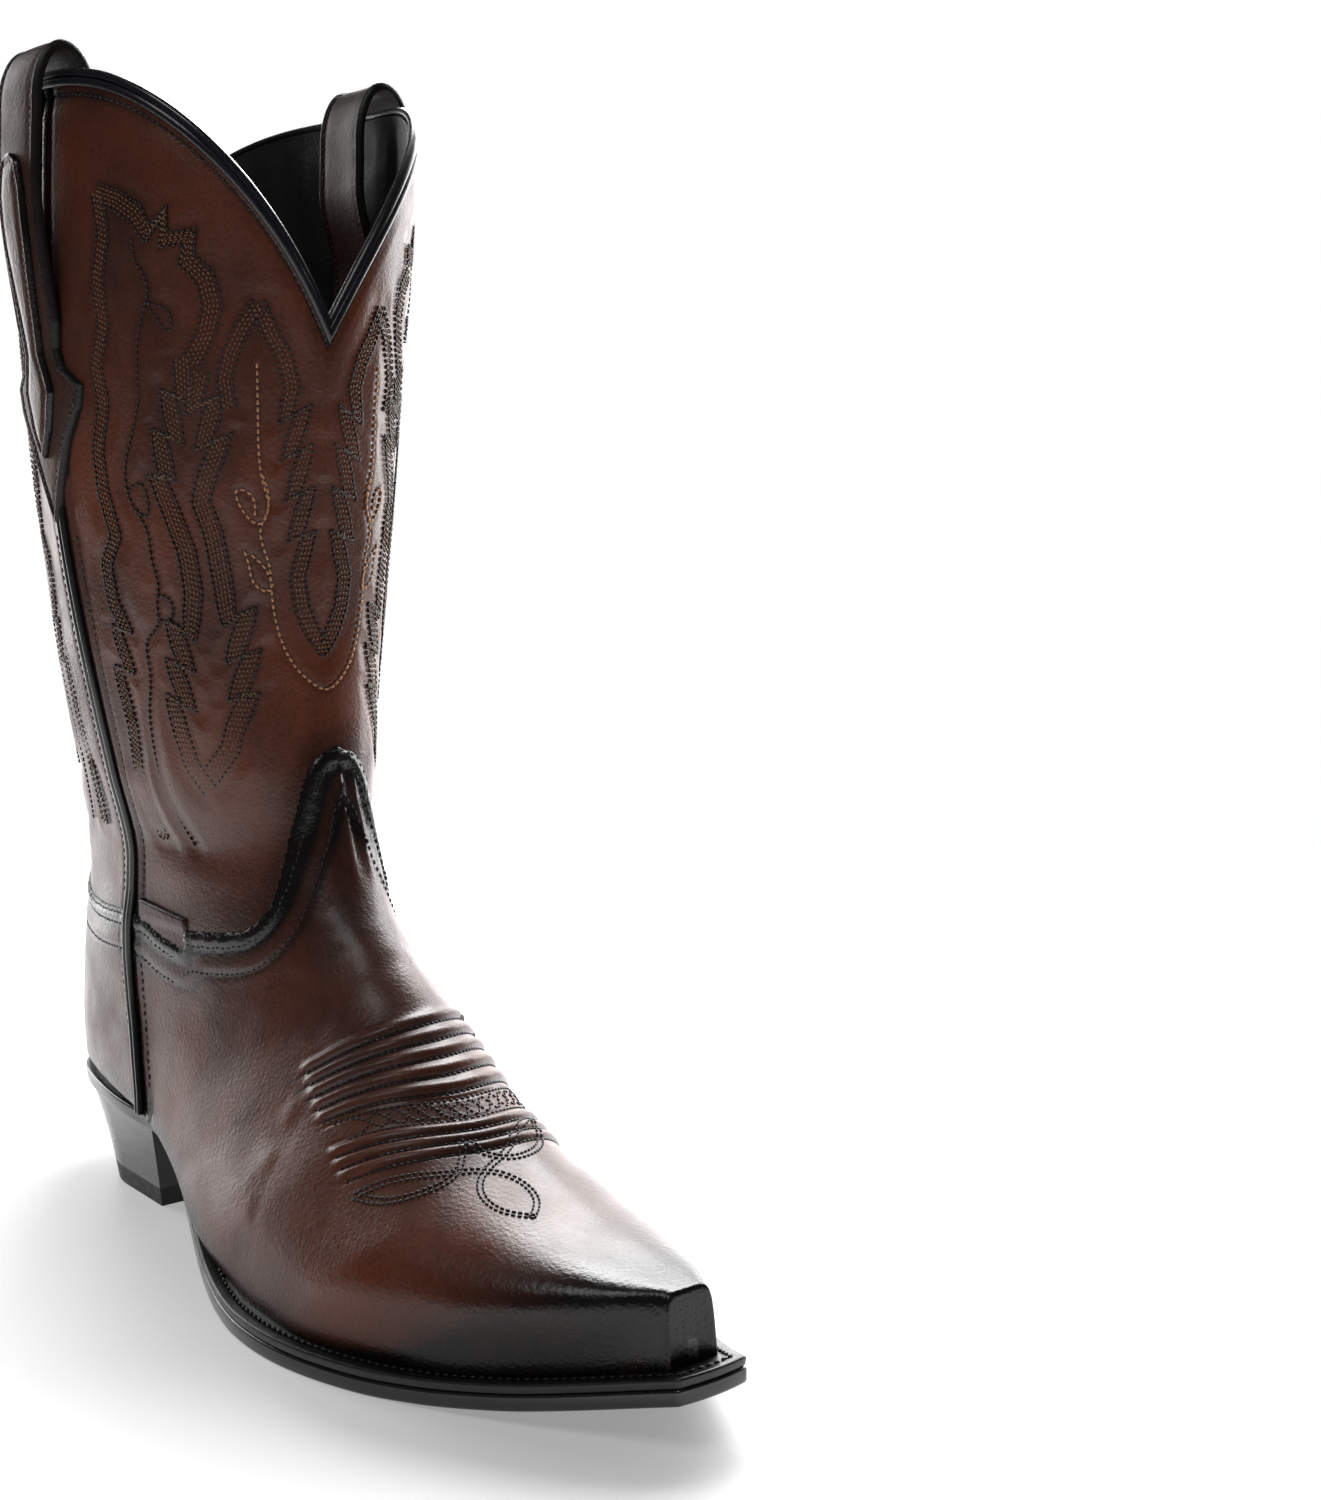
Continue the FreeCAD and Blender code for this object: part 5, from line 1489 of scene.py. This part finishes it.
keep_welt = border[:, 0] > 29.0
first_gap = np.argmax(~keep_welt)
last_gap = len(border) - np.argmax(~keep_welt[::-1])
welt_line = np.concatenate([border[last_gap:], snip[1:-1], border[:first_gap]])
rand_line = border[first_gap - 1:last_gap + 1]
WELT_PROFILE = ([(9.5, 4.6), (9.5, 7.4)] + [(4.6, 7.45), (4.0, 7.2), (3.4, 7.2), (2.8, 7.45)]
                + quarter(1.0, 6.5, 0.9, 90) + [(0.35, 5.0), (0.6, 4.6)])
vertices, faces = swept(welt_line, WELT_PROFILE)
make_piece("welt", vertices, faces, WELT, "sole_leather", ("welt",), sharp=60)
RAND_PROFILE = [(10.0, 4.6), (10.0, 7.4)] + quarter(3.4, 6.5, 0.9, 90) + [(2.6, 4.6)]
vertices, faces = swept(rand_line, RAND_PROFILE)
make_piece("heel_rand", vertices, faces, WELT, "sole_leather", ("heel_rand",), sharp=60)

EDGE_PROFILE = [(1.6, 4.5)] + quarter(0.8, 3.7, 0.8, 90, 3) + quarter(0.9, 0.9, 0.9, 180, 3) + [(2.2, 0.0)]
loops = profile_lines(outline, EDGE_PROFILE, True)
count = len(outline)
vertices = list(loops)
faces = []
for level in range(len(loops) - 1):
    for k in range(count):
        after = (k + 1) % count
        low, high = level * count, (level + 1) * count
        faces.append([low + k, low + after, high + after, high + k])
total = count * len(loops)
for loop_number, height in ((0, 4.5), (len(loops) - 1, 0.0)):
    rim_points = loops[loop_number][:, :2]
    inner_points = [Vector((px, py)) for px in np.arange(-44, 262, 5.0) for py in np.arange(-56, 44, 5.0)]
    rim_list = [Vector(p) for p in rim_points]
    edges = [(k, (k + 1) % count) for k in range(count)]
    found, _, triangles, origin, _, _ = delaunay_2d_cdt(rim_list + inner_points, edges, [], 1, 1e-5)
    number = []
    for index, place in enumerate(found):
        source = [o for o in origin[index] if o < count]
        if source:
            number.append(loop_number * count + source[0])
        else:
            number.append(total)
            vertices.append(np.array([[place.x, place.y, float(sole_z(place.x)) + height]]))
            total += 1
    for triangle in triangles:
        corners = [number[c] for c in triangle]
        faces.append(corners if loop_number == 0 else corners[::-1])
make_piece("outsole", np.concatenate(vertices), faces, EDGE, "sole_leather", ("outsole",), sharp=50)

welt_thread = Thread()
stitch_line = welt_line + inner_side(welt_line, False) * 3.7
stitch_line = np.column_stack([stitch_line, sole_z(stitch_line[:, 0]) + 7.35])
ahead_of_waist = stitch_line[:, 0] > 58
welt_thread.sew(stitch_line[ahead_of_waist], np.tile((0.0, 0.0, 1.0), (int(ahead_of_waist.sum()), 1)),
                pitch=2.6, cover=0.8, radius=0.5, lift=0.2)
welt_thread.make("welt_thread", THREAD_BLACK, "black_leather")

# the CAD pieces that stay: the heel stack and what is inside the boot
KEPT = {"heel_cap": RUBBER, "heel_lift_1": HEEL, "heel_lift_2": HEEL, "heel_lift_3": HEEL,
        "heel_lift_4": HEEL, "cork_filler": CORK, "shank": STEEL, "insole": INSOLE, "sock_liner": SOCK,
        "heel_pad": SOCK, "heel_nails": BRASS, "cap_nails": BRASS, "sole_pegs": WOOD}
for name, material in KEPT.items():
    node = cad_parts[name]
    node.data.materials.clear()
    node.data.materials.append(material)

# ---------------------------------------------------------------- stage, light and camera

FLOOR_RADIUS, FLOOR_CENTRE = 0.85, 0.10
floor_mesh = bpy.data.meshes.new("floor")
floor_turns = np.linspace(0, 2 * math.pi, 97)[:-1]
floor_mesh.from_pydata([(FLOOR_CENTRE + FLOOR_RADIUS * math.cos(turn), FLOOR_RADIUS * math.sin(turn), 0)
                        for turn in floor_turns], [], [tuple(range(96))])
floor = bpy.data.objects.new("floor", floor_mesh)
bpy.context.scene.collection.objects.link(floor)
paper = Nodes("studio_paper")
paper.colour(paper.mix((paper.noise(3, 2), "Fac"), rgb(205, 205, 205), rgb(200, 200, 201)))
paper.shader.inputs["Roughness"].default_value = 0.55
paper.shader.inputs["Emission Color"].default_value = (1.0, 1.0, 1.0, 1.0)
# the sweep glows, and its glow holds a painted soft shadow: dim beneath the boot, brightening to the white of
# the sky away from its long axis
axes = paper.add("ShaderNodeSeparateXYZ")
paper.link(paper.place, "Object", axes, "Vector")
beside = paper.spread(axes, "X", -0.03, 0.22, -0.03, 0.22)
ahead = paper.calculate("SUBTRACT", (axes, "X"), (beside, "Result"))
apart = paper.add("ShaderNodeCombineXYZ")
paper.link(ahead, "Value", apart, "X")
paper.link(axes, "Y", apart, "Y")
away = paper.add("ShaderNodeVectorMath")
away.operation = "LENGTH"
paper.link(apart, "Vector", away, "Vector")
glow = paper.spread(away, "Value", 0.03, 0.20, 0.30, 1.0)
glow.interpolation_type = "SMOOTHSTEP"
paper.link(glow, "Result", paper.shader, "Emission Strength")
floor_mesh.materials.append(paper.material)

SKY_LIGHT, SKY_SEEN = 0.05, 1.0     # the sky's strength as light and as the plain backdrop
scene = bpy.context.scene
world = bpy.data.worlds.new("studio")
world.use_nodes = True
background = world.node_tree.nodes["Background"]
background.inputs["Color"].default_value = (1.0, 1.0, 1.0, 1.0)
rays = world.node_tree.nodes.new("ShaderNodeLightPath")
level = world.node_tree.nodes.new("ShaderNodeMapRange")
level.inputs["To Min"].default_value = SKY_LIGHT
level.inputs["To Max"].default_value = SKY_SEEN
world.node_tree.links.new(rays.outputs["Is Camera Ray"], level.inputs["Value"])
world.node_tree.links.new(level.outputs["Result"], background.inputs["Strength"])
scene.world = world
scene.view_settings.view_transform = "Standard"
scene.view_settings.look = "None"


def softbox(name, place, aim, width, height, power):
    """A soft rectangular light that faces a point, in metres and watts."""
    light = bpy.data.lights.new(name, "AREA")
    light.shape = "RECTANGLE"
    light.size, light.size_y, light.energy = width, height, power
    lamp = bpy.data.objects.new(name, light)
    lamp.location = place
    lamp.rotation_mode = "QUATERNION"
    lamp.rotation_quaternion = (Vector(aim) - Vector(place)).to_track_quat("-Z", "Y")
    scene.collection.objects.link(lamp)


MIDDLE = (0.06, 0.0, 0.17)
softbox("key", (0.38, -0.72, 1.30), MIDDLE, 0.6, 0.6, 4.2)
softbox("rim_inner", (-0.1, 0.95, 0.55), MIDDLE, 0.4, 1.0, 9)
softbox("back_wall", (-1.05, 0.8, 0.3), MIDDLE, 1.5, 0.9, 16)
softbox("rim_outer", (-0.95, -0.25, 0.4), MIDDLE, 0.3, 0.9, 5)
softbox("toe_glow", (-0.27, 0.42, 0.66), (0.21, 0, 0.043), 0.5, 0.4, 9)

# the photo's view: round to the lateral front, a little above the foot
AZIMUTH, ELEVATION = math.radians(50.96), math.radians(7.92)
AIM, DISTANCE = Vector((0.201, 0.035, 0.1634)), 0.5545
LENS, SENSOR = 49.37, 36.0
back = Vector((math.sin(AZIMUTH) * math.cos(ELEVATION), -math.cos(AZIMUTH) * math.cos(ELEVATION),
               math.sin(ELEVATION)))
lens = bpy.data.cameras.new("camera")
lens.lens, lens.sensor_width, lens.sensor_fit = LENS, SENSOR, "AUTO"
lens.clip_start, lens.clip_end = 0.01, 30
camera = bpy.data.objects.new("camera", lens)
camera.location = AIM + back * DISTANCE
camera.rotation_mode = "QUATERNION"
camera.rotation_quaternion = (-back).to_track_quat("-Z", "Y")
scene.collection.objects.link(camera)
scene.camera = camera
